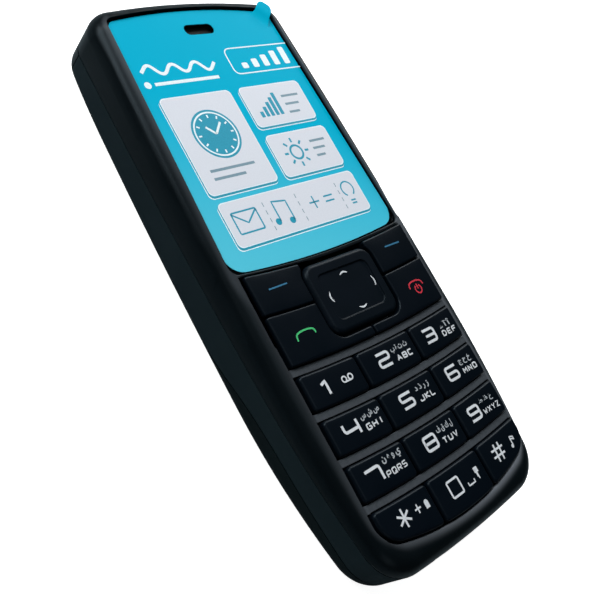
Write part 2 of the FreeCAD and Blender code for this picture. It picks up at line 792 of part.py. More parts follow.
def battery_bay():
    """Floor over the battery, the walls round it, and the wall that closes the upper compartment."""
    room = inner_shape(wall).cut(above_split(-seam_gap)).cut(cap_side(-seam_gap))
    floor_top = bay_floor_z + bay_floor_thickness
    floor = box(-beyond, beyond, bay_low_y - bay_wall, cover_top_y - seam_gap, bay_floor_z, floor_top)
    ring = box(-bay_half_x - bay_wall, bay_half_x + bay_wall, bay_low_y - bay_wall, bay_high_y + bay_wall,
               bay_foot_z, bay_floor_z)
    ring = ring.cut(box(-bay_half_x, bay_half_x, bay_low_y, bay_high_y, 0, beyond))
    head_y = cover_top_y + tongue_size[1] + 2 * seam_gap
    head_wall = box(-beyond, beyond, head_y, head_y + wall, 0, floor_top)
    head_floor = box(-beyond, beyond, cover_top_y - seam_gap, head_y, bay_floor_z, floor_top)
    return [solid.common(room) for solid in (floor.fuse(head_floor), ring, head_wall)]


def socket_tray():
    """Closed floor and skirt under the sockets at the microphone end."""
    tray = plan_body(wall, tray_floor_z, tray_top_z)
    tray = tray.cut(plan_body(wall + bay_floor_thickness, tray_floor_z + bay_floor_thickness, tray_top_z))
    return tray.common(box(-beyond, beyond, -beyond, bay_low_y - bay_wall / 2, 0, beyond))


def rear_housing(outer):
    """Rear housing: the band round the sides, the upper back and the battery bay."""
    body = outer.cut(above_split(-seam_gap / 2)).cut(below_cover_seam(seam_gap)).cut(cap_side(-seam_gap))
    shell = body.cut(inner_shape(wall))
    solids = [solid.cut(jack_room(jack_gap)) for solid in battery_bay() + [socket_tray()]]
    for x, y in all_screw_places():
        post = disc(post_radius, board_z - seam_gap - screw_seat_z, x, y, screw_seat_z)
        solids.append(post.common(plan_body(wall / 2, 0, face_z)).cut(above_split(-seam_gap)))
    shell = shell.fuse(solids)
    for x, y in all_screw_places():
        shell = shell.cut(disc(screw_shank_radius + screw_head_gap, beyond, x, y, 0))
        shell = shell.cut(disc(screw_head[0] + screw_head_gap, screw_seat_z, x, y, 0))
    for size, x, y in ((sim_size, -sim_x, sim_y), (sim_size, sim_x, sim_y), (card_size, 0, card_y)):
        opening = (size[0] + tray_gap, size[1] + tray_gap, beyond)
        shell = shell.cut(block(opening, x, y, bay_foot_z))
    slot = (contact_block[0] + tray_gap, contact_block[1] + tray_gap, beyond)
    shell = shell.cut(block(slot, 0, contact_y, cover_wall + tongue_z[1]))
    shell = shell.fuse(motor_cradle())
    for x, y in grille_places():
        shell = shell.cut(disc(grille_hole_radius, 3 * wall, x, y, -wall))
    mouth = (port_size[0] + 2 * port_gap, 2 * port_size[1], port_size[2] + 2 * port_gap)
    shell = shell.cut(block(mouth, port_x, -half_length, board_z - port_size[2] - port_gap))
    front_y = -half_length - wall
    shell = shell.cut(rod(jack_mouth_radius, 4 * wall, jack_x, front_y, jack_z))
    sound_z = board_z - sound_hole_drop
    shell = shell.cut(rod(sound_hole_radius, 4 * wall, microphone_place[0], front_y, sound_z))
    return shell.removeSplitter()


def motor_cradle():
    """Two ribs on the inside of the back that hold the vibration motor."""
    x, y = motor_centre
    ribs = []
    for shift in (-motor_length / 4, motor_length / 4):
        rib = block((2 * (motor_radius + cradle_wall), cradle_rib, motor_z - wall + boss_sink), x, y + shift,
                    wall - boss_sink)
        ribs.append(rib.cut(rod(motor_radius + motor_fit, 2 * beyond, x, -beyond, motor_z)))
    return ribs


def grille_places():
    """Holes of the loudspeaker grille in the back."""
    count_x, count_y = grille_count
    for i in range(count_x):
        for j in range(count_y):
            yield (speaker_centre[0] + (i - (count_x - 1) / 2) * grille_pitch,
                   speaker_centre[1] + (j - (count_y - 1) / 2) * grille_pitch)


def battery_cover(outer):
    """Cover that slides off towards the microphone end, with a tongue at its upper edge."""
    body = outer.common(below_cover_seam(0)).cut(above_split(-seam_gap))
    room = plan_body(cover_wall, 0, face_z).common(above_back(cover_wall))
    body = body.cut(room)
    half = tongue_size[0] / 2
    root_y = cover_top_y - tongue_root
    root = box(-half, half, root_y, cover_top_y - seam_gap, cover_wall - boss_sink, tongue_z[1])
    tip = box(-half, half, root_y, cover_top_y + tongue_size[1], tongue_z[0], tongue_z[1])
    return body.fuse([root, tip]).removeSplitter()


def top_cap(outer):
    """Black cap round the earpiece end, with the hole of the torch window."""
    body = outer.cut(above_split(-seam_gap / 2)).common(cap_side(0))
    body = body.cut(inner_shape(wall))
    return body.cut(rod(torch_radius + torch_fit, 2 * cap_length, torch_x, cap_y, torch_z)).removeSplitter()


# ---- inner pieces ----------------------------------------------------------------
def torch_lens(outer):
    """Clear round window of the torch, flush with the rounded end cap."""
    lens = rod(torch_radius, 2 * torch_length, torch_x, half_length - torch_length, torch_z)
    return lens.common(outer)


def torch_led():
    """Torch diode behind its window, on a foot that reaches the board."""
    face = half_length - torch_length - seam_gap
    return box(torch_x - led_size[0] / 2, torch_x + led_size[0] / 2, face - led_size[1], face,
               torch_z - led_size[2] / 2, board_z)


def jack_room(margin):
    """Space of the headset socket, grown by a margin."""
    front = wall - half_length + jack_end_gap
    half_x = jack_size[0] / 2 + margin
    half_z = jack_size[2] / 2 + margin
    return box(jack_x - half_x, jack_x + half_x, front - jack_end_gap, front + jack_size[1] + margin,
               jack_z - half_z, jack_z + half_z)


def headset_jack():
    """Socket for a 3.5 mm plug, let into the edge of the board."""
    front = wall - half_length + jack_end_gap
    body = box(jack_x - jack_size[0] / 2, jack_x + jack_size[0] / 2, front, front + jack_size[1],
               jack_z - jack_size[2] / 2, jack_z + jack_size[2] / 2)
    return body.cut(rod(jack_bore_radius, jack_size[1] - jack_back_wall, jack_x, front, jack_z))


def main_board():
    """Circuit board under the display and the keys."""
    board = plan_body(board_inset, board_z, board_z + board_thickness)
    for x, y in all_screw_places():
        board = board.cut(disc(boss_radius + boss_fit, beyond, x, y, 0))
    return board.cut(jack_room(jack_gap))


def dome_places():
    """Every key's stem, then the rocker's four plungers."""
    places = [digit_place(row, column) for row in range(1, row_count + 1) for column in (-1, 0, 1)]
    places += [function_place(side, upper) for upper in (True, False) for side in (-1, 1)]
    return places + list(rocker_dome_places())


def key_area(inset, z_low, z_high):
    """Plan of the sheets under the keys."""
    area = key_field(inset, z_low, z_high)
    return area.common(box(-beyond, beyond, -beyond, key_field_high_y - inset, z_low, z_high))


def dome_sheet():
    """Sheet with one snap dome under each stem."""
    top = dome_sheet_z + dome_sheet_thickness
    sheet = key_area(sheet_inset, dome_sheet_z, top)
    domes = []
    for index, (x, y) in enumerate(dome_places()):
        radius = dome_radius if index < key_count else rocker_dome_radius
        domes.append(Part.makeCone(radius, dome_top_radius, dome_height, Vector(x, y, top)))
    sheet = sheet.fuse(domes)
    for x, y in all_screw_places():
        sheet = sheet.cut(disc(boss_radius + boss_fit, beyond, x, y, 0))
    return sheet.cut(jack_room(jack_gap)).removeSplitter()


def keypad_mat():
    """Rubber mat between keys and domes, on a rim, with a hole for each stem and the rocker's cup."""
    top = mat_under_z + mat_thickness
    low = dome_sheet_z + dome_sheet_thickness
    mat = key_area(mat_inset, low, top)
    mat = mat.cut(key_area(mat_inset + mat_rim, low, mat_under_z))
    for index, (x, y) in enumerate(dome_places()):
        radius = stem_radius if index < key_count else plunger_radius
        mat = mat.cut(disc(radius + mat_hole_gap, beyond, x, y, 0))
        mat = mat.cut(disc(dome_radius + dome_room, mat_under_z - low, x, y, low))
    for x, y in all_screw_places():
        mat = mat.cut(disc(boss_radius + boss_fit, beyond, x, y, 0))
    mat = mat.cut(jack_room(jack_gap))
    mat = mat.fuse(disc(pivot_cup_radius, top - low, 0, rocker_y, low))
    return mat.cut(Part.makeSphere(pivot_radius + pivot_fit, Vector(0, rocker_y, pivot_z))).removeSplitter()


def display_module():
    """Display: metal frame with the glass standing a little proud of it."""
    top = ledge_low_z - display_gap
    low = top - display_height
    frame = box(-window_half_width - display_rim, window_half_width + display_rim, window_low_y - display_rim,
                window_high_y + display_rim, low, top)
    glass = box(glass_inset - window_half_width, window_half_width - glass_inset, window_low_y + glass_inset,
                window_high_y - glass_inset, low, top + glass_proud)
    return frame.fuse(glass).removeSplitter()


def battery_contacts():
    """Contact block under the board with three sprung blades towards the battery."""
    z_low = board_z - contact_block[2]
    solid = block(contact_block, 0, contact_y, z_low)
    blade_low_y = bay_high_y - battery_gap + contact_gap / 2
    for index in (-1, 0, 1):
        x = index * contact_pitch
        blade = box(x - contact_blade[0] / 2, x + contact_blade[0] / 2, blade_low_y, contact_y,
                    z_low + contact_blade_lift, z_low + contact_blade_lift + contact_blade[2])
        solid = solid.fuse(blade)
    return solid.removeSplitter()


def battery():
    """Flat battery with soft edges and three sunk contact pads."""
    solid = block(battery_size, 0, battery_low_y + battery_size[1] / 2, battery_z)
    long_edges = [e for e in solid.Edges if e.BoundBox.YLength > battery_size[1] / 2]
    solid = solid.makeFillet(battery_edge_round, long_edges)
    high_y = battery_low_y + battery_size[1]
    for index in (-1, 0, 1):
        pad = block(contact_pad, index * contact_pitch, high_y, battery_z + battery_edge_round)
        solid = solid.cut(pad)
    return solid


def card_tray(size, x, y):
    """Card holder under the board: a thin metal shell with its mouth towards the microphone end."""
    z_low = board_z - size[2]
    solid = block(size, x, y, z_low)
    mouth = box(x - size[0] / 2 + tray_wall, x + size[0] / 2 - tray_wall, y - size[1] / 2,
                y + size[1] / 2 - tray_wall, z_low + tray_sheet, z_low + size[2] - tray_sheet)
    return solid.cut(mouth)


def radio_shield():
    """Thin metal can over the radio chips, under the board."""
    z_low = board_z - shield_height
    half = shield_width / 2
    solid = box(-half, half, shield_low_y, shield_high_y, z_low, board_z)
    return solid.cut(box(shield_wall - half, half - shield_wall, shield_low_y + shield_wall,
                         shield_high_y - shield_wall, z_low + shield_wall, board_z))


def loudspeaker():
    """Ringer loudspeaker on the inside of the back."""
    x, y = speaker_centre
    z_low = wall + back_gap
    body = rounded_block(speaker_size, x, y, z_low, speaker_corner)
    return body.fuse(disc(speaker_dish[0], speaker_size[2] + speaker_dish[1], x, y, z_low)).removeSplitter()


def earpiece_speaker():
    """Receiver under the earpiece slot."""
    return rounded_block(ear_speaker, 0, ear_slot_y, board_z + board_thickness, ear_speaker_corner)


def earpiece_mesh():
    """Fine dust screen in its seat under the window."""
    return block(ear_mesh, 0, ear_slot_y, lens_low_z - ear_mesh_seat[2])


def vibration_motor():
    """Motor can and shaft."""
    x, y = motor_centre
    can = rod(motor_radius, motor_length, x, y - motor_length / 2, motor_z)
    shaft = rod(motor_shaft_radius, motor_shaft_length, x, y + motor_length / 2, motor_z)
    return can.fuse(shaft).removeSplitter()


def vibration_weight():
    """Off-centre weight that turns with the motor's shaft."""
    x, y = motor_centre
    start = y + motor_length / 2 + weight_gap
    weight = rod(weight_radius, weight_length, x, start, motor_z)
    weight = weight.cut(block((beyond, beyond, beyond), x, start, motor_z))
    hub = rod(weight_hub_radius, weight_length, x, start, motor_z)
    return weight.fuse(hub).cut(rod(motor_shaft_radius + weight_fit, beyond, x, y, motor_z)).removeSplitter()


def microphone():
    """Microphone under the board beside the charging port."""
    x, y = microphone_place
    return disc(microphone_radius, microphone_height, x, y, board_z - microphone_height)


def charging_port():
    """Charging socket under the board: a flat shell with a tongue."""
    front = -half_length + port_recess
    back = front + port_size[1]
    z_low = board_z - port_size[2]
    half = port_size[0] / 2
    solid = box(port_x - half, port_x + half, front, back, z_low, board_z)
    solid = solid.makeFillet(port_corner, [e for e in solid.Edges if e.BoundBox.YLength > port_size[1] / 2])
    mouth = box(port_x - half + port_wall, port_x + half - port_wall, front, back - port_wall,
                z_low + port_wall, board_z - port_wall)
    middle = z_low + port_size[2] / 2
    tongue = box(port_x - port_tongue[0] / 2, port_x + port_tongue[0] / 2, back - port_wall - port_tongue[1],
                 back - port_wall, middle - port_tongue[2] / 2, middle + port_tongue[2] / 2)
    return solid.cut(mouth).fuse(tongue).removeSplitter()


def antenna():
    """Antenna strip on its plastic carrier, under the board."""
    width, depth, thickness = antenna_size
    z_low = board_z - antenna_carrier_height
    carrier = block((width, depth, antenna_carrier_height), antenna_x, antenna_y, z_low)
    strip_y = antenna_y + (depth - antenna_strip) / 2
    strip = block((width - antenna_strip, antenna_strip, thickness), antenna_x, strip_y, z_low - thickness)
    tail = block((antenna_strip, depth, thickness), antenna_x - width / 2 + antenna_strip, antenna_y,
                 z_low - thickness)
    return carrier.fuse([strip, tail]).removeSplitter()


def housing_screws():
    """The screws that hold the two housings together."""
    solids = []
    head_radius, head_height = screw_head
    for x, y in all_screw_places():
        head = disc(head_radius, head_height, x, y, screw_seat_z - head_height)
        shank = disc(screw_shank_radius, screw_tip_z - screw_seat_z, x, y, screw_seat_z)
        socket = disc(screw_socket[0], screw_socket[1], x, y, screw_seat_z - head_height)
        solids.append(head.fuse(shank).cut(socket).removeSplitter())
    return Part.makeCompound(solids)


def pivot_ball():
    """Small ball that the rocker tilts on."""
    return Part.makeSphere(pivot_radius, Vector(0, rocker_y, pivot_z))


digit_names = {
    (1, -1): "key_1", (1, 0): "key_2", (1, 1): "key_3",
    (2, -1): "key_4", (2, 0): "key_5", (2, 1): "key_6",
    (3, -1): "key_7", (3, 0): "key_8", (3, 1): "key_9",
    (4, -1): "key_star", (4, 0): "key_0", (4, 1): "key_hash",
}
function_names = {
    (-1, True): "soft_key_left", (1, True): "soft_key_right",
    (-1, False): "call_key", (1, False): "end_key",
}


def build():
    """Every sub-part by name."""
    outer = outer_shape()
    parts = {
        "front_housing": front_housing(outer),
        "rear_housing": rear_housing(outer),
        "battery_cover": battery_cover(outer),
        "top_cap": top_cap(outer),
        "display_lens": display_lens(),
        "screen_film": screen_film(),
        "display_module": display_module(),
        "earpiece_mesh": earpiece_mesh(),
        "earpiece_speaker": earpiece_speaker(),
        "main_board": main_board(),
        "dome_sheet": dome_sheet(),
        "keypad_mat": keypad_mat(),
        "rocker_key": rocker_key(),
        "rocker_pivot": pivot_ball(),
        "battery": battery(),
        "battery_contacts": battery_contacts(),
        "sim_holder_left": card_tray(sim_size, -sim_x, sim_y),
        "sim_holder_right": card_tray(sim_size, sim_x, sim_y),
        "memory_card_holder": card_tray(card_size, 0, card_y),
        "radio_shield": radio_shield(),
        "loudspeaker": loudspeaker(),
        "vibration_motor": vibration_motor(),
        "vibration_weight": vibration_weight(),
        "microphone": microphone(),
        "charging_port": charging_port(),
        "headset_jack": headset_jack(),
        "torch_lens": torch_lens(outer),
        "torch_led": torch_led(),
        "antenna": antenna(),
        "housing_screws": housing_screws(),
    }
    for (row, column), name in digit_names.items():
        parts[name] = digit_key(row, column)
    for (side, upper), name in function_names.items():
        parts[name] = function_key(side, upper)
    return parts


def main():
    """Builds every sub-part and writes one STEP file for each."""
    os.makedirs("parts", exist_ok=True)
    for name, shape in build().items():
        shape.exportStep(f"parts/{name}.step")
        print(name, len(shape.Solids), round(shape.Volume, 2), shape.isValid())


if __name__ == "__main__":
    main()
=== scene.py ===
import json
import logging
import math
from contextlib import contextmanager
from dataclasses import dataclass, field
from enum import Enum
from typing import Callable, ClassVar, Iterator, Optional, Sequence

import bmesh
import bpy
import numpy as np
from mathutils import Matrix, Vector


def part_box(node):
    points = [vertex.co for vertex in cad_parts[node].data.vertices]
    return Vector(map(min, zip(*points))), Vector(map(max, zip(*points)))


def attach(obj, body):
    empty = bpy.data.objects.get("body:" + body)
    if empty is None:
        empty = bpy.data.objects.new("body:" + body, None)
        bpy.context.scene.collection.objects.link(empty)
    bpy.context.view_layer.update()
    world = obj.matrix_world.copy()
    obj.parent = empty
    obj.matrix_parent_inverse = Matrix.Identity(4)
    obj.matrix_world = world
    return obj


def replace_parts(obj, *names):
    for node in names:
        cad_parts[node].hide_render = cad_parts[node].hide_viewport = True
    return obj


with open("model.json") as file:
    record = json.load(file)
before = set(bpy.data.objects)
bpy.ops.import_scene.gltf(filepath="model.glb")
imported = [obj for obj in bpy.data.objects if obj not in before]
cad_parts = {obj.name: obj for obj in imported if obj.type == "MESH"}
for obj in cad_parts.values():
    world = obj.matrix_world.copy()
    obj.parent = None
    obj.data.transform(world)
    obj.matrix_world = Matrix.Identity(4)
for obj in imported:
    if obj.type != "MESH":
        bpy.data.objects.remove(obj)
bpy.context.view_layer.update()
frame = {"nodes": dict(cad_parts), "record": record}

MM = 0.001  # one millimetre in metres; sizes are in millimetres unless a class says otherwise
SLACK = 0.01 * MM  # heights nearer than this count as one
FACES_UP = 0.999  # least Z of a level face's normal
log = logging.getLogger("bar_phone")

Point = tuple[float, float]
Place = tuple[float, float, float]
Colour = tuple[float, float, float, float]
Edges = tuple[float, float, float, float]
Piece = bpy.types.Object
Node = bpy.types.Node
Socket = bpy.types.NodeSocket
WHITE: Colour = (1.0, 1.0, 1.0, 1.0)


# ---- colours and node wiring ---------------------------------------------------------
@dataclass(frozen=True)
class Tone:
    """A colour, as eight-bit screen values."""

    red: int
    green: int
    blue: int

    def linear(self) -> Colour:
        """Turns the screen values into the linear ones that shaders work with.

        Returns:
            Red, green, blue and full cover.
        """
        shares = [value / 255 for value in (self.red, self.green, self.blue)]
        flat = [s / 12.92 if s <= 0.04045 else ((s + 0.055) / 1.055) ** 2.4 for s in shares]
        return (flat[0], flat[1], flat[2], 1.0)


class Graph:
    """Adds and wires the nodes of one material or one effect group."""

    def __init__(self, tree: bpy.types.NodeTree) -> None:
        """Keeps the tree that the nodes go into."""
        self.tree = tree

    def feed(self, socket: Socket, value: object) -> None:
        """Links a socket to another one, or sets its own value.

        Args:
            socket: the input socket.
            value: an output socket, or a plain value.
        """
        if isinstance(value, Socket):
            self.tree.links.new(value, socket)
        else:
            socket.default_value = value

    def add(self, kind: str, inputs: Optional[dict] = None, **settings: object) -> Node:
        """Adds one node.

        Args:
            kind: Blender's name of the node type.
            inputs: socket name or number, and its value or source.
            settings: properties of the node itself.

        Returns:
            The new node.
        """
        node = self.tree.nodes.new(kind)
        for key, value in settings.items():
            setattr(node, key, value)
        for key, value in (inputs or {}).items():
            self.feed(node.inputs[key], value)
        return node

    def math(self, operation: str, *values: object) -> Socket:
        """Calculates with one or two values.

        Args:
            operation: Blender's name of the operation.
            values: plain numbers or sockets.

        Returns:
            The result's socket.
        """
        node = self.add("ShaderNodeMath", operation=operation)
        for socket, value in zip(node.inputs, values):
            self.feed(socket, value)
        return node.outputs[0]

    def plus(self, first: object, second: object) -> Socket:
        """Adds two values."""
        return self.math("ADD", first, second)

    def times(self, first: object, second: object) -> Socket:
        """Multiplies two values."""
        return self.math("MULTIPLY", first, second)

    def blend(self, factor: object, first: object, second: object) -> Socket:
        """Mixes two colours.

        Args:
            factor: 0 for the first colour, 1 for the second.
            first: a colour or its socket.
            second: a colour or its socket.

        Returns:
            The mixed colour's socket.
        """
        node = self.add("ShaderNodeMix", data_type="RGBA")
        for index, value in ((0, factor), (6, first), (7, second)):
            self.feed(node.inputs[index], value)
        return node.outputs[2]

    def ease(self, value: object, low: float, high: float) -> Socket:
        """Rises smoothly from 0 at low to 1 at high, or falls where low is the larger."""
        inputs = {"Value": value, "From Min": low, "From Max": high}
        return self.add("ShaderNodeMapRange", inputs, interpolation_type="SMOOTHSTEP").outputs[0]

    def millimetres(self) -> Socket:
        """Gives the place on the object in millimetres."""
        place = self.add("ShaderNodeTexCoord").outputs["Object"]
        return self.add("ShaderNodeMapping", {"Vector": place, "Scale": (1000, 1000, 1000)}).outputs[0]

    def noise(self, place: object, scale: object, detail: float = 2.0) -> Socket:
        """Gives cloudy noise between 0 and 1; scale is its count per millimetre."""
        return self.add("ShaderNodeTexNoise", {"Vector": place, "Scale": scale, "Detail": detail}).outputs[0]


# ---- effects that several finishes share ---------------------------------------------
class Effect:
    """A shader node group with named sockets, built once and placed in each finish."""

    name: ClassVar[str] = ""
    sockets: ClassVar[tuple[tuple[str, str, str], ...]] = ()

    @classmethod
    def group(cls) -> bpy.types.NodeTree:
        """Builds the group the first time it is asked for.

        Returns:
            The node group.
        """
        tree = bpy.data.node_groups.get(cls.name)
        if tree is None:
            tree = bpy.data.node_groups.new(cls.name, "ShaderNodeTree")
            for label, way, kind in cls.sockets:
                tree.interface.new_socket(name=label, in_out=way, socket_type="NodeSocket" + kind)
            graph = Graph(tree)
            start = graph.add("NodeGroupInput")
            end = graph.add("NodeGroupOutput")
            cls.wire(graph, start, end)
        return tree

    @classmethod
    def wire(cls, graph: Graph, start: Node, end: Node) -> None:
        """Wires the inside of the group, between its start and its end node."""
        raise NotImplementedError

    @classmethod
    def place(cls, graph: Graph, **inputs: object) -> Node:
        """Puts the group into a finish with that finish's own values."""
        return graph.add("ShaderNodeGroup", {k.replace("_", " "): v for k, v in inputs.items()},
                         node_tree=cls.group())


class MouldedGrain(Effect):
    """The fine spark-eroded texture of a moulding tool, and pale flecks in it."""

    name = "moulded_grain"
    sockets = (("Place", "INPUT", "Vector"), ("Pitch", "INPUT", "Float"),
               ("Height", "OUTPUT", "Float"), ("Fleck", "OUTPUT", "Float"))
    pit_height: ClassVar[float] = 0.7
    cloud_count: ClassVar[float] = 0.45
    fleck_count: ClassVar[float] = 1.7
    fleck_edge: ClassVar[Point] = (0.56, 0.72)

    @classmethod
    def wire(cls, graph: Graph, start: Node, end: Node) -> None:
        """Pits from cells, broken up by noise.

        Args:
            graph: the group's graph.
            start: the node with the group's inputs.
            end: the node with its outputs.
        """
        place = start.outputs["Place"]
        count = graph.math("DIVIDE", 1.0, start.outputs["Pitch"])
        cells = graph.add("ShaderNodeTexVoronoi", {"Vector": place, "Scale": count},
                          feature="SMOOTH_F1").outputs["Distance"]
        cloud = graph.noise(place, graph.times(count, cls.cloud_count), 3.0)
        graph.feed(end.inputs["Height"], graph.plus(graph.times(cells, cls.pit_height), cloud))
        fine = graph.noise(place, graph.times(count, cls.fleck_count), 1.0)
        graph.feed(end.inputs["Fleck"], graph.ease(fine, *cls.fleck_edge))


class HandlingHaze(Effect):
    """Where hands and packing have touched a surface, its shine varies a little.

    Each layer has its count per millimetre, its detail and its share.
    """

    name = "handling_haze"
    sockets = (("Place", "INPUT", "Vector"), ("Roughness", "INPUT", "Float"),
               ("Amount", "INPUT", "Float"), ("Roughness", "OUTPUT", "Float"))
    layers: ClassVar[tuple[Place, ...]] = ((0.09, 3.0, 0.7), (0.7, 4.0, 0.3))

    @classmethod
    def wire(cls, graph: Graph, start: Node, end: Node) -> None:
        """Large soft patches and finer streaks.

        Args:
            graph: the group's graph.
            start: the node with the group's inputs.
            end: the node with its outputs.
        """
        layers = [graph.times(graph.noise(start.outputs["Place"], count, detail), share)
                  for count, detail, share in cls.layers]
        spread = graph.math("SUBTRACT", graph.plus(*layers), 0.5)
        change = graph.times(spread, start.outputs["Amount"])
        graph.feed(end.inputs["Roughness"], graph.plus(start.outputs["Roughness"], change))


class ColourDrift(Effect):
    """Two near colours that melt into one another."""

    name = "colour_drift"
    sockets = (("Place", "INPUT", "Vector"), ("First", "INPUT", "Color"), ("Second", "INPUT", "Color"),
               ("Pitch", "INPUT", "Float"), ("Color", "OUTPUT", "Color"))
    edge: ClassVar[Point] = (0.3, 0.7)

    @classmethod
    def wire(cls, graph: Graph, start: Node, end: Node) -> None:
        """Noise decides how much of the second colour shows.

        Args:
            graph: the group's graph.
            start: the node with the group's inputs.
            end: the node with its outputs.
        """
        cloud = graph.noise(start.outputs["Place"], graph.math("DIVIDE", 1.0, start.outputs["Pitch"]), 3.0)
        share = graph.ease(cloud, *cls.edge)
        graph.feed(end.inputs["Color"], graph.blend(share, start.outputs["First"], start.outputs["Second"]))


class BrushedLines(Effect):
    """Fine parallel lines left by rolling or brushing metal."""

    name = "brushed_lines"
    sockets = (("Place", "INPUT", "Vector"), ("Pitch", "INPUT", "Float"), ("Lines", "OUTPUT", "Float"))
    stretch: ClassVar[Place] = (0.04, 1.0, 1.0)

    @classmethod
    def wire(cls, graph: Graph, start: Node, end: Node) -> None:
        """Noise stretched along X.

        Args:
            graph: the group's graph.
            start: the node with the group's inputs.
            end: the node with its outputs.
        """
        place = {"Vector": start.outputs["Place"], "Scale": cls.stretch}
        drawn = graph.add("ShaderNodeMapping", place).outputs[0]
        count = graph.math("DIVIDE", 1.0, start.outputs["Pitch"])
        graph.feed(end.inputs["Lines"], graph.noise(drawn, count, 3.0))


# ---- finishes ------------------------------------------------------------------------
@dataclass(frozen=True)
class Finish:
    """One surface finish, made into a material on first use.

    Its roughness strays by haze from place to place, and its two tones lie in patches of one size.
    """

    name: str
    roughness: float = 0.35
    haze: float = 0.10
    specular: float = 0.5
    patch: float = 7.0

    def material(self) -> bpy.types.Material:
        """Gives the material, and builds it the first time.

        Returns:
            The Blender material of this finish.
        """
        label = self.name + "_finish"
        found = bpy.data.materials.get(label)
        if found is None:
            found = bpy.data.materials.new(label)
            found.use_nodes = True
            graph = Graph(found.node_tree)
            self.paint(graph, found.node_tree.nodes["Principled BSDF"], graph.millimetres())
        return found

    def paint(self, graph: Graph, shader: Node, place: Socket) -> None:
        """Wires what every finish has: its shine, and a roughness that varies a little.

        Args:
            graph: the material's graph.
            shader: its shader.
            place: socket of the place in millimetres.
        """
        haze = HandlingHaze.place(graph, Place=place, Roughness=self.roughness, Amount=self.haze)
        graph.feed(shader.inputs["Roughness"], haze.outputs["Roughness"])
        shader.inputs["Specular IOR Level"].default_value = self.specular

    def two_tone(self, graph: Graph, place: Socket, tones: tuple[Colour, Colour],
                 patch: Optional[float] = None) -> Socket:
        """Melts two near colours into one another.

        Args:
            graph: the material's graph.
            place: socket of the place in millimetres.
            tones: the two colours.
            patch: size of the patches, if it differs from the finish's.

        Returns:
            The colour's socket.
        """
        return ColourDrift.place(graph, Place=place, First=tones[0], Second=tones[1],
                                 Pitch=patch or self.patch).outputs[0]

    def relief(self, graph: Graph, shader: Node, height: object, depth: float) -> None:
        """Turns a height into a bump on the shader.

        Args:
            graph: the material's graph.
            shader: its shader.
            height: socket of the height, 0 to 1.
            depth: how deep that is, in millimetres.
        """
        bump = graph.add("ShaderNodeBump", {"Height": height, "Distance": depth * MM, "Strength": 1.0})
        graph.feed(shader.inputs["Normal"], bump.outputs[0])


@dataclass(frozen=True)
class Plastic(Finish):
    """Moulded plastic or rubber, from matt to gloss."""

    tone: Tone = Tone(20, 22, 26)
    drift: Tone = Tone(24, 27, 31)
    grain_pitch: float = 0.12
    grain_depth: float = 0.004
    fleck: float = 0.15
    fleck_lift: Point = (2.2, 0.004)
    glint: Tone = Tone(214, 240, 255)
    coat: float = 0.0
    coat_roughness: float = 0.1

    def colour(self, graph: Graph, place: object, grain: Node) -> Socket:
        """Gives the base colour: two near tones with pale flecks.

        Args:
            graph: the material's graph.
            place: socket of the place in millimetres.
            grain: the node of the moulding's grain.

        Returns:
            The colour's socket.
        """
        base = self.two_tone(graph, place, (self.tone.linear(), self.drift.linear()))
        lift = graph.times(grain.outputs["Fleck"], self.fleck)
        times, plus = self.fleck_lift
        pale = tuple(min(1.0, share * times + plus) for share in self.drift.linear()[:3]) + (1.0,)
        return graph.blend(lift, base, pale)

    def paint(self, graph: Graph, shader: Node, place: Socket) -> None:
        """Wires colour, shine and grain.

        Args:
            graph: the material's graph.
            shader: its shader.
            place: socket of the place in millimetres.
        """
        super().paint(graph, shader, place)
        grain = MouldedGrain.place(graph, Place=place, Pitch=self.grain_pitch)
        graph.feed(shader.inputs["Base Color"], self.colour(graph, place, grain))
        for label, value in (("Specular Tint", self.glint.linear()), ("Coat Weight", self.coat),
                             ("Coat Roughness", self.coat_roughness)):
            shader.inputs[label].default_value = value
        self.relief(graph, shader, grain.outputs["Height"], self.grain_depth)


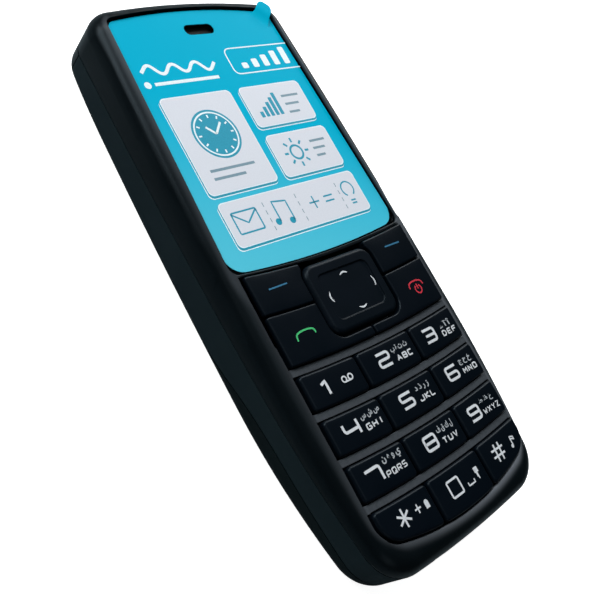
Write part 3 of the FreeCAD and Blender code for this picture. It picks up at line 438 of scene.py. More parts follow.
@dataclass(frozen=True)
class RibbedPlastic(Plastic):
    """The front moulding: dark, with lighter painted ribs and a painted highlight on the lip round the keys
    and the window.

    The ribs lie within half_width of the middle, between the rows, and above rib_height; below it their walls
    keep the dark colour as painted shade in the gaps. Each of the three edges is blurred by its part of
    rib_blur. The painted highlight runs round the key field and then beside the window, fainter on the left
    and stronger on the right and at the lower end: field is the key field's half width, low edge, corner
    radius and bow, and window_side is the window's half width at the middle of the phone and how much it
    changes per millimetre along it.
    """

    rib_tone: Tone = Tone(61, 66, 71)
    rib_drift: Tone = Tone(67, 72, 77)
    rib_patch: float = 0.5
    half_width: float = 19.45
    rows: Point = (-42.0, -16.0)
    rib_height: float = 13.6
    # Below this height the rib colour stops, so the rib walls keep the dark colour as painted shade in the
    # gaps.
    rib_blur: Place = (0.25, 0.2, 0.08)
    # The lip values below shape a painted highlight: a lighter colour on the top near the inner lip that
    # stands in for a lamp's shine.
    lip_highlight_tone: Tone = Tone(108, 114, 121)
    lip_highlight_reach: float = 1.9
    lip_highlight_fall: float = 1.9
    lip_highlight_inside: Point = (-1.6, -0.5)
    lip_highlight_share: Point = (0.17, 0.5)
    lip_highlight_sides: Point = (-22.0, 22.0)
    lip_highlight_low_end: Point = (-40.0, -47.0)
    lip_highlight_heights: Point = (13.0, 13.45)
    field: Edges = (19.4, -48.1, 4.6, 60.0)
    window_side: Point = (20.3, -0.045)
    window_start: Point = (-6.0, 1.0)

    def lip(self, graph: Graph, x: Socket, y: Socket) -> Socket:
        """Gives the painted highlight's mask: 1 at the inner lip, fading outwards over its reach.

        Args:
            graph: the material's graph.
            x: socket of the place across the phone.
            y: socket of the place along the phone.

        Returns:
            The socket of the painted highlight's strength.
        """
        half, low, corner, bow = self.field
        window_half, slope = self.window_side
        taper = graph.math("MULTIPLY_ADD", y, slope, window_half - half)
        wide = graph.math("MULTIPLY_ADD", graph.ease(y, *self.window_start), taper, half - corner)
        over = graph.math("SUBTRACT", graph.math("ABSOLUTE", x), wide)
        sag = graph.math("MULTIPLY_ADD", graph.times(x, x), 0.5 / bow, low + corner)
        under = graph.math("SUBTRACT", sag, y)
        squares = [graph.math("POWER", graph.math("MAXIMUM", side, 0.0), 2.0) for side in (over, under)]
        round_part = graph.math("SQRT", graph.plus(*squares))
        flat_part = graph.math("MINIMUM", graph.math("MAXIMUM", over, under), 0.0)
        away = graph.plus(graph.plus(round_part, flat_part), -corner)
        fall = graph.math("POWER", graph.ease(away, self.lip_highlight_reach, 0.0), self.lip_highlight_fall)
        return graph.times(fall, graph.ease(away, *self.lip_highlight_inside))

    def colour(self, graph: Graph, place: object, grain: Node) -> Socket:
        """Gives the dark colour with a painted highlight near the lip, or the rib colour on the ribs' tops,
        whose walls keep the dark colour as painted shade.

        Args:
            graph: the material's graph.
            place: socket of the place in millimetres.
            grain: the node of the moulding's grain.

        Returns:
            The colour's socket.
        """
        dark = super().colour(graph, place, grain)
        ribs = self.two_tone(graph, place, (self.rib_tone.linear(), self.rib_drift.linear()), self.rib_patch)
        x, y, z = graph.add("ShaderNodeSeparateXYZ", {0: place}).outputs
        # The painted highlight is fainter on the left, stronger on the right, and up to twice as strong at
        # the lower end.
        left, right = self.lip_highlight_share
        share = graph.math("MULTIPLY_ADD", graph.ease(x, *self.lip_highlight_sides), right - left, left)
        share = graph.times(share, graph.plus(1.0, graph.ease(y, *self.lip_highlight_low_end)))
        # Painted highlight: blended over the dark colour on the top faces near the lip.
        painted_highlight = graph.times(self.lip(graph, x, y), graph.ease(z, *self.lip_highlight_heights))
        dark = graph.blend(graph.times(painted_highlight, share), dark, self.lip_highlight_tone.linear())
        side_blur, row_blur, top_blur = self.rib_blur
        side = graph.ease(graph.math("ABSOLUTE", x), self.half_width, self.half_width - side_blur)
        upper = graph.ease(y, self.rows[1] + row_blur, self.rows[1])
        lower = graph.ease(y, self.rows[0] - row_blur, self.rows[0])
        # Rib tops only: the walls below keep the dark colour as painted shade.
        top = graph.ease(z, self.rib_height, self.rib_height + top_blur)
        within = graph.times(graph.times(side, upper), graph.times(lower, top))
        return graph.blend(within, dark, ribs)


@dataclass(frozen=True)
class PrintedSheet(Finish):
    """Printed film whose colour grows paler towards its lower left corner: partly the print's own colour run,
    partly a painted sheen.
    """

    deep: Tone = Tone(0, 171, 204)
    pale: Tone = Tone(84, 193, 216)
    speck: Tone = Tone(0, 120, 170)
    speck_share: float = 0.05
    speck_count: float = 2.4
    slant: float = 0.35
    run: Point = (30.0, -9.0)
    roughness: float = 0.3
    haze: float = 0.12
    specular: float = 0.03
    wave_count: float = 0.08
    wave_depth: float = 0.05

    def paint(self, graph: Graph, shader: Node, place: Socket) -> None:
        """Wires the colour run, which is partly a painted sheen, a faint mottle of the ink and the film's
        waviness.

        Args:
            graph: the material's graph.
            shader: its shader.
            place: socket of the place in millimetres.
        """
        super().paint(graph, shader, place)
        x, y, _ = graph.add("ShaderNodeSeparateXYZ", {0: place}).outputs
        # The run paler towards the lower left is partly the print and partly a painted sheen standing in for
        # a soft box's reflection.
        along = graph.plus(y, graph.times(x, self.slant))
        run = graph.blend(graph.ease(along, *self.run), self.deep.linear(), self.pale.linear())
        mottle = graph.times(graph.noise(place, self.speck_count, 4.0), self.speck_share)
        graph.feed(shader.inputs["Base Color"], graph.blend(mottle, run, self.speck.linear()))
        self.relief(graph, shader, graph.noise(place, self.wave_count), self.wave_depth)


@dataclass(frozen=True)
class Ink(Finish):
    """Printing ink on a key or on the film."""

    tone: Tone = Tone(222, 226, 230)
    roughness: float = 0.5
    mottle: float = 0.06
    patch: float = 0.25
    grain_count: float = 9.0
    grain_depth: float = 0.002
    specular: float = 0.3

    def paint(self, graph: Graph, shader: Node, place: Socket) -> None:
        """Wires the ink's colour with its slight unevenness and its dull skin.

        Args:
            graph: the material's graph.
            shader: its shader.
            place: socket of the place in millimetres.
        """
        super().paint(graph, shader, place)
        full = self.tone.linear()
        thin = tuple(share * (1.0 - 2.0 * self.mottle) for share in full[:3]) + (1.0,)
        graph.feed(shader.inputs["Base Color"], self.two_tone(graph, place, (full, thin)))
        self.relief(graph, shader, graph.noise(place, self.grain_count), self.grain_depth)


@dataclass(frozen=True)
class Metal(Finish):
    """Rolled, brushed or plated metal."""

    tone: Tone = Tone(190, 190, 188)
    drift: Tone = Tone(170, 170, 170)
    roughness: float = 0.3
    haze: float = 0.2
    patch: float = 2.5
    line_pitch: float = 0.05
    line_depth: float = 0.002
    line_roughness: float = 0.08

    def paint(self, graph: Graph, shader: Node, place: Socket) -> None:
        """Wires the metal's colour, its drawn lines and its stained patches.

        Args:
            graph: the material's graph.
            shader: its shader.
            place: socket of the place in millimetres.
        """
        super().paint(graph, shader, place)
        lines = BrushedLines.place(graph, Place=place, Pitch=self.line_pitch).outputs[0]
        stained = self.two_tone(graph, place, (self.tone.linear(), self.drift.linear()))
        graph.feed(shader.inputs["Base Color"], stained)
        haze = shader.inputs["Roughness"].links[0].from_socket
        graph.feed(shader.inputs["Roughness"], graph.plus(haze, graph.times(lines, self.line_roughness)))
        shader.inputs["Metallic"].default_value = 1.0
        self.relief(graph, shader, lines, self.line_depth)


@dataclass(frozen=True)
class WovenScreen(Finish):
    """Fine black wire cloth over a sound opening, darkened further as painted shade inside the slot, with its
    holes painted near black as painted shade.
    """

    # The wire tone is darker than the cloth itself, as painted shade inside the slot; the hole tone is
    # painted shade seen through the weave.
    wire: Tone = Tone(13, 14, 16)
    painted_hole_shade: Tone = Tone(1, 1, 2)
    pitch: float = 0.16
    wave_length: float = 0.314
    thread_edge: Point = (0.55, 0.85)
    depth: float = 0.02
    roughness: float = 0.45
    haze: float = 0.15
    specular: float = 0.25

    def paint(self, graph: Graph, shader: Node, place: Socket) -> None:
        """Wires crossing threads with near-black holes between them, as painted shade.

        Args:
            graph: the material's graph.
            shader: its shader.
            place: socket of the place in millimetres.
        """
        super().paint(graph, shader, place)
        scale = self.wave_length / self.pitch
        threads = [graph.add("ShaderNodeTexWave", {"Vector": place, "Scale": scale},
                             bands_direction=way).outputs["Fac"] for way in ("X", "Y")]
        weave = graph.math("MAXIMUM", *threads)
        cover = graph.ease(weave, *self.thread_edge)
        # Painted shade: the holes take a near-black colour and are not open.
        graph.feed(shader.inputs["Base Color"], graph.blend(cover, self.painted_hole_shade.linear(), self.wire.linear()))
        self.relief(graph, shader, weave, self.depth)


@dataclass(frozen=True)
class CircuitBoard(Finish):
    """Solder mask over copper lanes, with bare plated pads."""

    mask: Tone = Tone(9, 48, 32)
    lane: Tone = Tone(18, 72, 48)
    pad: Tone = Tone(205, 180, 110)
    lane_width: float = 0.12
    lane_cell: Point = (2.7, 0.8)
    pad_count: float = 0.42
    pad_spread: float = 0.7
    pad_edge: Point = (0.24, 0.2)
    pad_metal: float = 0.9
    depth: float = 0.02
    roughness: float = 0.3
    haze: float = 0.15

    def paint(self, graph: Graph, shader: Node, place: Socket) -> None:
        """Wires lanes from bricks, pads from cells, and the mask between.

        Args:
            graph: the material's graph.
            shader: its shader.
            place: socket of the place in millimetres.
        """
        super().paint(graph, shader, place)
        lanes = graph.add("ShaderNodeTexBrick", {
            "Vector": place, "Color1": (0, 0, 0, 1), "Color2": (0, 0, 0, 1), "Mortar": WHITE, "Scale": 1.0,
            "Mortar Size": self.lane_width, "Brick Width": self.lane_cell[0],
            "Row Height": self.lane_cell[1]}).outputs["Fac"]
        cells = graph.add("ShaderNodeTexVoronoi", {"Vector": place, "Scale": self.pad_count,
                                                   "Randomness": self.pad_spread})
        pads = graph.ease(cells.outputs["Distance"], *self.pad_edge)
        mask = graph.blend(lanes, self.mask.linear(), self.lane.linear())
        graph.feed(shader.inputs["Base Color"], graph.blend(pads, mask, self.pad.linear()))
        graph.feed(shader.inputs["Metallic"], graph.times(pads, self.pad_metal))
        self.relief(graph, shader, graph.plus(lanes, pads), self.depth)


@dataclass(frozen=True)
class ClearPlastic(Finish):
    """Clear window plastic with the faintest waviness."""

    tone: Tone = Tone(236, 242, 245)
    roughness: float = 0.03
    haze: float = 0.03
    patch: float = 9.0
    index: float = 1.49
    wave_count: float = 0.2
    wave_depth: float = 0.004

    def paint(self, graph: Graph, shader: Node, place: Socket) -> None:
        """Wires tint, shine and waviness of the clear sheet.

        Args:
            graph: the material's graph.
            shader: its shader.
            place: socket of the place in millimetres.
        """
        super().paint(graph, shader, place)
        graph.feed(shader.inputs["Base Color"], self.two_tone(graph, place, (self.tone.linear(), WHITE)))
        shader.inputs["Transmission Weight"].default_value = 1.0
        shader.inputs["IOR"].default_value = self.index
        self.relief(graph, shader, graph.noise(place, self.wave_count, 1.0), self.wave_depth)


class Palette(Enum):
    """Every finish on the phone."""

    FRONT = RibbedPlastic("front_satin_black", tone=Tone(6, 11, 14), drift=Tone(8, 13, 16), roughness=0.32,
                          specular=0.12)
    BAND = Plastic("band_slate", tone=Tone(24, 35, 39), drift=Tone(27, 38, 42), roughness=0.5,
                   specular=0.08, grain_depth=0.003)
    COVER = Plastic("cover_black", tone=Tone(11, 19, 20), drift=Tone(13, 22, 23), roughness=0.46,
                    specular=0.08)
    CAP = Plastic("cap_black", tone=Tone(7, 13, 15), drift=Tone(9, 15, 18), roughness=0.34, specular=0.12)
    KEY = Plastic("key_blue_black", tone=Tone(3, 8, 15), drift=Tone(5, 10, 17), roughness=0.34,
                  specular=0.14, grain_depth=0.003, fleck=0.08)
    ROCKER = Plastic("rocker_black", tone=Tone(6, 12, 18), drift=Tone(8, 14, 21), roughness=0.36,
                     specular=0.1, grain_depth=0.003, fleck=0.08)
    INNER = Plastic("inner_black", tone=Tone(22, 22, 23), drift=Tone(28, 28, 29), roughness=0.55,
                    specular=0.35, grain_pitch=0.25, grain_depth=0.01)
    DISPLAY = Plastic("display_black", tone=Tone(8, 9, 12), drift=Tone(12, 13, 18), roughness=0.12,
                      haze=0.05, grain_depth=0.0005, fleck=0.0, coat=0.6, coat_roughness=0.05)
    RUBBER = Plastic("grey_rubber", tone=Tone(44, 46, 50), drift=Tone(50, 52, 56), roughness=0.75,
                     specular=0.25, grain_pitch=0.2, grain_depth=0.008)
    WRAP = Plastic("battery_wrap", tone=Tone(54, 57, 62), drift=Tone(60, 63, 68), roughness=0.45,
                   specular=0.4, grain_pitch=0.5, grain_depth=0.006, fleck=0.05)
    LAMP = Plastic("lamp_yellow", tone=Tone(236, 226, 160), drift=Tone(240, 234, 190), roughness=0.35,
                   grain_depth=0.001)
    WINDOW = ClearPlastic("window_clear")
    TORCH = ClearPlastic("torch_clear", tone=Tone(240, 243, 246), roughness=0.08)
    FILM = PrintedSheet("printed_film")
    STEEL = Metal("fine_steel")
    DOME = Metal("dome_steel", tone=Tone(200, 199, 194), drift=Tone(186, 184, 178), roughness=0.24)
    BRASS = Metal("contact_brass", tone=Tone(214, 178, 98), drift=Tone(202, 164, 84), roughness=0.25)
    WEIGHT = Metal("weight_sintered", tone=Tone(120, 117, 112), drift=Tone(98, 96, 92), roughness=0.5,
                   line_depth=0.006)
    SCREW = Metal("screw_plated", tone=Tone(176, 178, 182), drift=Tone(160, 162, 166), roughness=0.28)
    MESH = WovenScreen("mesh_black")
    BOARD = CircuitBoard("board_green")
    LEGEND = Ink("legend_white", tone=Tone(205, 211, 216))
    LEGEND_FINE = Ink("legend_fine", tone=Tone(168, 176, 182))
    BLUE_INK = Ink("legend_blue", tone=Tone(42, 106, 140))
    GREEN_INK = Ink("legend_green", tone=Tone(64, 184, 112))
    RED_INK = Ink("legend_red", tone=Tone(190, 44, 60))
    PRINT_WHITE = Ink("print_white", tone=Tone(232, 246, 250), roughness=0.3)
    PRINT_PANEL = Ink("print_panel", tone=Tone(214, 219, 228), roughness=0.3, mottle=0.02)
    PRINT_TEAL = Ink("print_teal", tone=Tone(38, 152, 180), roughness=0.3)
    PRINT_GREY = Ink("print_grey", tone=Tone(122, 152, 166), roughness=0.3)
    LABEL = Ink("label_pale", tone=Tone(176, 180, 184), roughness=0.4, mottle=0.03)
    LABEL_INK = Ink("label_ink", tone=Tone(34, 38, 44), roughness=0.45)


SLOT_FINISH: dict[str, Palette] = {
    "bezel_black": Palette.FRONT, "band_slate": Palette.BAND, "cover_black": Palette.COVER,
    "cap_black": Palette.CAP, "window_glass": Palette.WINDOW, "printed_film": Palette.FILM,
    "display_frame": Palette.DISPLAY, "fine_steel": Palette.STEEL, "inner_black": Palette.INNER,
    "board_green": Palette.BOARD, "dome_metal": Palette.DOME, "grey_rubber": Palette.RUBBER,
    "rocker_black": Palette.ROCKER, "battery_wrap": Palette.WRAP, "contact_brass": Palette.BRASS,
    "weight_metal": Palette.WEIGHT, "torch_clear": Palette.TORCH, "led_white": Palette.LAMP,
    "screw_steel": Palette.SCREW, "key_blue_black": Palette.KEY,
}

NODE_FINISH: dict[str, Palette] = {"earpiece_mesh": Palette.MESH}


# ---- the modelling bench -------------------------------------------------------------
def bring_in(name: str, data: bpy.types.ID) -> Piece:
    """Makes an object and links it into the scene.

    Args:
        name: its name.
        data: its mesh, curve, light or camera.

    Returns:
        The new object.
    """
    thing = bpy.data.objects.new(name, data)
    bpy.context.scene.collection.objects.link(thing)
    return thing


def trace(curve: bpy.types.Curve, points: Sequence[Point], closed: bool) -> None:
    """Adds one straight-sided line to a flat curve.

    Args:
        curve: the curve.
        points: the line's points.
        closed: whether it ends where it starts.
    """
    spline = curve.splines.new("POLY")
    spline.points.add(len(points) - 1)
    for point, (x, y) in zip(spline.points, points):
        point.co = (x * MM, y * MM, 0.0, 1.0)
    spline.use_cyclic_u = closed


class Bench:
    """Selection, edit-mode and finishing steps that every sub-assembly uses."""

    weld: ClassVar[float] = 0.002
    ink_weld: ClassVar[float] = 0.0005
    flat_angle: ClassVar[float] = 0.3
    face_weight: ClassVar[int] = 90
    corner_cuts: ClassVar[int] = 6

    def __init__(self) -> None:
        """Reads which slot and body each node has."""
        record = frame["record"]
        self.slots: dict[str, str] = {row["node"]: row["material_slot"] for row in record["subparts"]}
        self.bodies: dict[str, str] = {node: body for body, nodes in record["behaviour"]["bodies"].items()
                                       for node in nodes}

    def take(self, *pieces: Piece) -> None:
        """Selects some pieces alone and makes the first one active.

        Args:
            pieces: the pieces.
        """
        bpy.ops.object.select_all(action="DESELECT")
        for piece in pieces:
            piece.select_set(True)
        bpy.context.view_layer.objects.active = pieces[0]

    @contextmanager
    def editing(self, piece: Piece, mode: str = "FACE") -> Iterator[None]:
        """Opens a piece in edit mode with nothing selected, and closes it again.

        Args:
            piece: the piece to edit.
            mode: VERT, EDGE or FACE.

        Returns:
            A context that lasts as long as edit mode does.
        """
        self.take(piece)
        bpy.ops.object.mode_set(mode="EDIT")
        bpy.ops.mesh.select_mode(type=mode)
        bpy.ops.mesh.select_all(action="DESELECT")
        yield
        bpy.ops.object.mode_set(mode="OBJECT")

    def pick(self, piece: Piece, kind: str, test: Callable[[object], bool]) -> int:
        """Selects, in edit mode, the faces or edges that pass a test, and nothing else.

        Args:
            piece: the piece in edit mode.
            kind: faces or edges.
            test: tells whether a face or edge is wanted.

        Returns:
            How many were selected.
        """
        shape = bmesh.from_edit_mesh(piece.data)
        shape.normal_update()
        for part in (*shape.verts, *shape.edges, *shape.faces):
            part.select = False
        wanted = [part for part in getattr(shape, kind) if test(part)]
        for part in wanted:
            part.select_set(True)
        bmesh.update_edit_mesh(piece.data)
        return len(wanted)

    def smooth(self, piece: Piece, angle: float = 32.0) -> None:
        """Shades a piece smooth up to an angle, with flat faces kept flat.

        Args:
            piece: the piece.
            angle: edges sharper than this stay sharp, in degrees.
        """
        self.take(piece)
        bpy.ops.object.shade_smooth_by_angle(angle=math.radians(angle), keep_sharp_edges=False)
        modifier = piece.modifiers.new("even", "WEIGHTED_NORMAL")
        modifier.keep_sharp = True
        modifier.weight = self.face_weight
        bpy.ops.object.modifier_apply(modifier=modifier.name)

    def settle(self, piece: Piece) -> None:
        """Moves a piece's place, turn and scale into its mesh."""
        self.take(piece)
        bpy.ops.object.transform_apply(location=True, rotation=True, scale=True)

    def dress(self, piece: Piece, finish: Palette) -> None:
        """Gives a piece one finish all over."""
        piece.data.materials.clear()
        piece.data.materials.append(finish.value.material())

    def mount(self, piece: Piece, name: str, body: str, slot: Optional[str] = None) -> None:
        """Names a finished piece and lets it ride on its body.

        Args:
            piece: the piece, in place.
            name: its name.
            body: the body it moves with.
            slot: the record's slot; not used.
        """
        piece.name = name
        piece.data.name = name
        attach(piece, body)
        log.info("%s: %d faces, rides on %s", name, len(piece.data.polygons), body)

    def skin(self, node: str) -> Piece:
        """Makes a merged copy of a node's mesh, ready to be refined and shaded.

        Args:
            node: the node's name.

        Returns:
            The copy, which is not yet mounted.
        """
        mesh = frame["nodes"][node].data.copy()
        piece = bring_in(node + "_skin", mesh)
        self.take(piece)
        if mesh.has_custom_normals:
            bpy.ops.mesh.customdata_custom_splitnormals_clear()
        with self.editing(piece, "VERT"):
            bpy.ops.mesh.select_all(action="SELECT")
            bpy.ops.mesh.remove_doubles(threshold=self.weld * MM)
            bpy.ops.mesh.dissolve_limited(angle_limit=math.radians(self.flat_angle))
        self.dress(piece, SLOT_FINISH[self.slots[node]])
        return piece

    def cover(self, node: str, piece: Piece) -> Piece:
        """Lets a refined skin stand for its node.

        Args:
            node: the node's name.
            piece: its finished skin.

        Returns:
            The same piece.
        """
        self.mount(piece, node + "_skin", self.bodies[node], self.slots[node])
        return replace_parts(piece, node)

    def shape(self, outline: Sequence[Point], low: float, high: float) -> Piece:
        """Fills a closed outline and gives it a thickness.

        Args:
            outline: corner points in millimetres.
            low: lower face's height.
            high: upper face's height.

        Returns:
            The solid, as a mesh.
        """
        curve = bpy.data.curves.new("outline", "CURVE")
        curve.dimensions = "2D"
        curve.fill_mode = "BOTH"
        curve.extrude = (high - low) / 2 * MM
        trace(curve, outline, True)
        return self.solidified(bring_in("outline", curve), (low + high) / 2)

    def solidified(self, piece: Piece, middle: float) -> Piece:
        """Makes a flat curve or text a closed mesh at a height.

        Args:
            piece: a curve or text with a thickness.
            middle: height of its middle, in millimetres.

        Returns:
            The same piece, as a mesh.
        """
        self.take(piece)
        bpy.ops.object.convert(target="MESH")
        piece.location = (0.0, 0.0, middle * MM)
        self.settle(piece)
        with self.editing(piece, "VERT"):
            bpy.ops.mesh.select_all(action="SELECT")
            bpy.ops.mesh.remove_doubles(threshold=self.ink_weld * MM)
            bpy.ops.mesh.normals_make_consistent(inside=False)
        bpy.ops.object.shade_flat()
        return piece

    def plate(self, centre: Point, size: Point, corner: float, low: float, high: float) -> Piece:
        """Models a thin plate with round corners.

        Args:
            centre: its middle.
            size: its width and height.
            corner: the corners' radius.
            low: lower face's height.
            high: upper face's height.

        Returns:
            The plate.
        """
        bpy.ops.object.select_all(action="DESELECT")
        bpy.ops.mesh.primitive_plane_add(size=1.0, location=(centre[0] * MM, centre[1] * MM, low * MM))
        piece = bpy.context.active_object
        piece.scale = (size[0] * MM, size[1] * MM, 1.0)
        self.settle(piece)
        with self.editing(piece, "VERT"):
            bpy.ops.mesh.select_all(action="SELECT")
            bpy.ops.mesh.bevel(offset=corner * MM, segments=self.corner_cuts, affect="VERTICES")
            bpy.ops.mesh.select_all(action="SELECT")
            bpy.ops.mesh.extrude_region_move(TRANSFORM_OT_translate={"value": (0, 0, (high - low) * MM)})
            bpy.ops.mesh.select_all(action="SELECT")
            bpy.ops.mesh.normals_make_consistent(inside=False)
        return piece

    def join(self, pieces: Sequence[Piece]) -> Piece:
        """Joins pieces into the first one.

        Args:
            pieces: the pieces.

        Returns:
            The first one, with the others in it.
        """
        self.take(*pieces)
        if len(pieces) > 1:
            bpy.ops.object.join()
        return pieces[0]


# ---- lettering -----------------------------------------------------------------------
@dataclass(frozen=True)
class Stroke:
    """One pull of the pen: points, and whether it closes on itself."""

    points: tuple[Point, ...]
    closed: bool = False
    rounded: bool = True
    corner_share: ClassVar[float] = 0.45
    corner_runs: ClassVar[int] = 5

    def placed(self, origin: Point, size: Point) -> "Stroke":
        """Gives this stroke scaled to a size and moved to an origin."""
        moved = tuple((origin[0] + x * size[0], origin[1] + y * size[1]) for x, y in self.points)
        return Stroke(moved, self.closed, self.rounded)

    def eased(self, radius: float, step: float = 0.5) -> list[Point]:
        """Rounds the corners and divides the long runs.

        Args:
            radius: largest corner radius.
            step: longest run between two points.

        Returns:
            The points along the eased stroke.
        """
        count = len(self.points)
        eased: list[Point] = []
        for index, here in enumerate(self.points):
            ends = not self.closed and index in (0, count - 1)
            if ends or not self.rounded or radius <= 0:
                eased.append(here)
                continue
            eased.extend(self._corner(self.points[index - 1], here, self.points[(index + 1) % count], radius))
        if self.closed:
            eased.append(eased[0])
        divided = [eased[0]]
        for start, end in zip(eased, eased[1:]):
            parts = max(1, math.ceil(math.dist(start, end) / step))
            divided.extend((start[0] + (end[0] - start[0]) * part / parts,
                            start[1] + (end[1] - start[1]) * part / parts) for part in range(1, parts + 1))
        return divided[:-1] if self.closed else divided

    @classmethod
    def _corner(cls, before: Point, here: Point, after: Point, radius: float) -> list[Point]:
        """Replaces one corner by a short curve.

        Args:
            before: the point before the corner.
            here: the corner.
            after: the point after it.
            radius: the largest radius.

        Returns:
            The points of the curve.
        """
        reach = min(radius, *(cls.corner_share * math.dist(here, other) for other in (before, after)))
        start = [here[k] + (before[k] - here[k]) * reach / math.dist(before, here) for k in (0, 1)]
        end = [here[k] + (after[k] - here[k]) * reach / math.dist(here, after) for k in (0, 1)]
        shares = [part / cls.corner_runs for part in range(cls.corner_runs + 1)]
        return [tuple((1 - t) ** 2 * start[k] + 2 * t * (1 - t) * here[k] + t * t * end[k] for k in (0, 1))
                for t in shares]


def ring(centre: Point, radius: float, start: float = 0.0, turn: float = 360.0, count: int = 28) -> Stroke:
    """Draws a circle or a part of one.

    Args:
        centre: its middle.
        radius: its radius.
        start: angle of the first point, in degrees.
        turn: how far it goes round, in degrees.
        count: number of runs.

    Returns:
        The stroke.
    """
    whole = abs(turn) >= 360.0
    angles = [math.radians(start + turn * part / count) for part in range(count if whole else count + 1)]
    return Stroke(tuple((centre[0] + radius * math.cos(a), centre[1] + radius * math.sin(a)) for a in angles),
                  whole, False)


def line(*points: Point, closed: bool = False, rounded: bool = True) -> Stroke:
    """Draws a broken line through points."""
    return Stroke(tuple(points), closed, rounded)


def spoke(centre: Point, start: float, end: float, angle: float) -> Stroke:
    """Draws a straight stroke that points away from a middle.

    Args:
        centre: the middle.
        start: distance of its first point.
        end: distance of its last point.
        angle: its direction, in degrees.

    Returns:
        The stroke.
    """
    across, along = math.cos(math.radians(angle)), math.sin(math.radians(angle))
    return line(*((centre[0] + reach * across, centre[1] + reach * along) for reach in (start, end)))


BOX = line((0, 0), (0, 1), (1, 1), (1, 0), closed=True)
SQUARE = line((0.06, 0), (0, 0.06), (0, 0.94), (0.06, 1), (0.94, 1), (1, 0.94), (1, 0.06), (0.94, 0),
              closed=True, rounded=False)

FIGURES: dict[str, tuple[Stroke, ...]] = {
    "1": (line((0.24, 0.82), (0.60, 1.0), (0.60, 0.0), rounded=False),),
    "2": (line((0, 1), (1, 1), (1, 0.5), (0, 0.5), (0, 0), (1, 0)),),
    "3": (line((0, 1), (1, 1), (1, 0), (0, 0)), line((0.12, 0.5), (1, 0.5))),
    "4": (line((0, 1), (0, 0.42), (0.98, 0.42)), line((1, 1), (1, 0))),
    "5": (line((1, 1), (0, 1), (0, 0.5), (1, 0.5), (1, 0), (0, 0)),),
    "6": (line((1, 1), (0, 1), (0, 0), (1, 0), (1, 0.5), (0, 0.5)),),
    "7": (line((0, 1), (1, 1), (1, 0)),),
    "8": (BOX, line((0, 0.5), (1, 0.5))),
    "9": (line((0, 0), (1, 0), (1, 1), (0, 1), (0, 0.5), (1, 0.5)),),
    "0": (SQUARE,),
}

CAPITALS: dict[str, tuple[Stroke, ...]] = {
    "A": (line((0, 0), (0.5, 1), (1, 0), rounded=False), line((0.2, 0.34), (0.8, 0.34))),
    "B": (BOX, line((0, 0.5), (1, 0.5))),
    "C": (line((1, 1), (0, 1), (0, 0), (1, 0)),),
    "D": (line((0, 0), (0, 1), (0.7, 1), (1, 0.7), (1, 0.3), (0.7, 0), closed=True, rounded=False),),
    "E": (line((1, 1), (0, 1), (0, 0), (1, 0)), line((0, 0.5), (0.85, 0.5))),
    "F": (line((1, 1), (0, 1), (0, 0)), line((0, 0.5), (0.85, 0.5))),
    "G": (line((1, 1), (0, 1), (0, 0), (1, 0), (1, 0.5), (0.55, 0.5)),),
    "H": (line((0, 0), (0, 1)), line((1, 0), (1, 1)), line((0, 0.5), (1, 0.5))),
    "I": (line((0.5, 0), (0.5, 1)),),
    "J": (line((1, 1), (1, 0), (0, 0), (0, 0.35)),),
    "K": (line((0, 0), (0, 1)), line((1, 1), (0.05, 0.5), (1, 0), rounded=False)),
    "L": (line((0, 1), (0, 0), (1, 0)),),
    "M": (line((0, 0), (0, 1), (0.5, 0.4), (1, 1), (1, 0), rounded=False),),
    "N": (line((0, 0), (0, 1), (1, 0), (1, 1), rounded=False),),
    "O": (BOX,),
    "P": (line((0, 0), (0, 1), (1, 1), (1, 0.42), (0, 0.42)),),
    "Q": (BOX, line((0.6, 0.35), (1.08, -0.1))),
    "R": (line((0, 0), (0, 1), (1, 1), (1, 0.42), (0, 0.42)), line((0.45, 0.42), (1, 0))),
    "S": (line((1, 1), (0, 1), (0, 0.5), (1, 0.5), (1, 0), (0, 0)),),
    "T": (line((0, 1), (1, 1)), line((0.5, 1), (0.5, 0))),
    "U": (line((0, 1), (0, 0), (1, 0), (1, 1)),),
    "V": (line((0, 1), (0.5, 0), (1, 1), rounded=False),),
    "W": (line((0, 1), (0.22, 0), (0.5, 0.62), (0.78, 0), (1, 1), rounded=False),),
    "X": (line((0, 0), (1, 1)), line((0, 1), (1, 0))),
    "Y": (line((0, 1), (0.5, 0.5), (1, 1), rounded=False), line((0.5, 0.5), (0.5, 0))),
    "Z": (line((0, 1), (1, 1), (0, 0), (1, 0), rounded=False),),
}


@dataclass
class Pen:
    """A flat nib that lays strokes of ink of one width on a level surface."""

    bench: Bench
    width: float
    ink: float = 0.02
    corner: float = 0.45

    def draw(self, strokes: Sequence[Stroke], level: float = 0.0) -> Piece:
        """Lays the strokes as thin closed ribbons.

        Args:
            strokes: what to draw, in millimetres.
            level: height of the surface underneath.

        Returns:
            One mesh with all the strokes.
        """
        nib = self._nib()
        curve = bpy.data.curves.new("strokes", "CURVE")
        curve.dimensions = "3D"
        curve.twist_mode = "Z_UP"
        curve.bevel_mode = "OBJECT"
        curve.bevel_object = nib
        curve.use_fill_caps = True
        for stroke in strokes:
            trace(curve, stroke.eased(self.corner), stroke.closed)
        piece = self.bench.solidified(bring_in("strokes", curve), level + self.ink / 2)
        bpy.data.objects.remove(nib)
        return piece

    def _nib(self) -> Piece:
        """Makes the nib's cross-section.

        Returns:
            The nib, as a closed curve.
        """
        section = bpy.data.curves.new("nib", "CURVE")
        section.dimensions = "2D"
        half, rise = self.width / 2, self.ink / 2
        trace(section, ((-half, -rise), (half, -rise), (half, rise), (-half, rise)), True)
        return bring_in("nib", section)


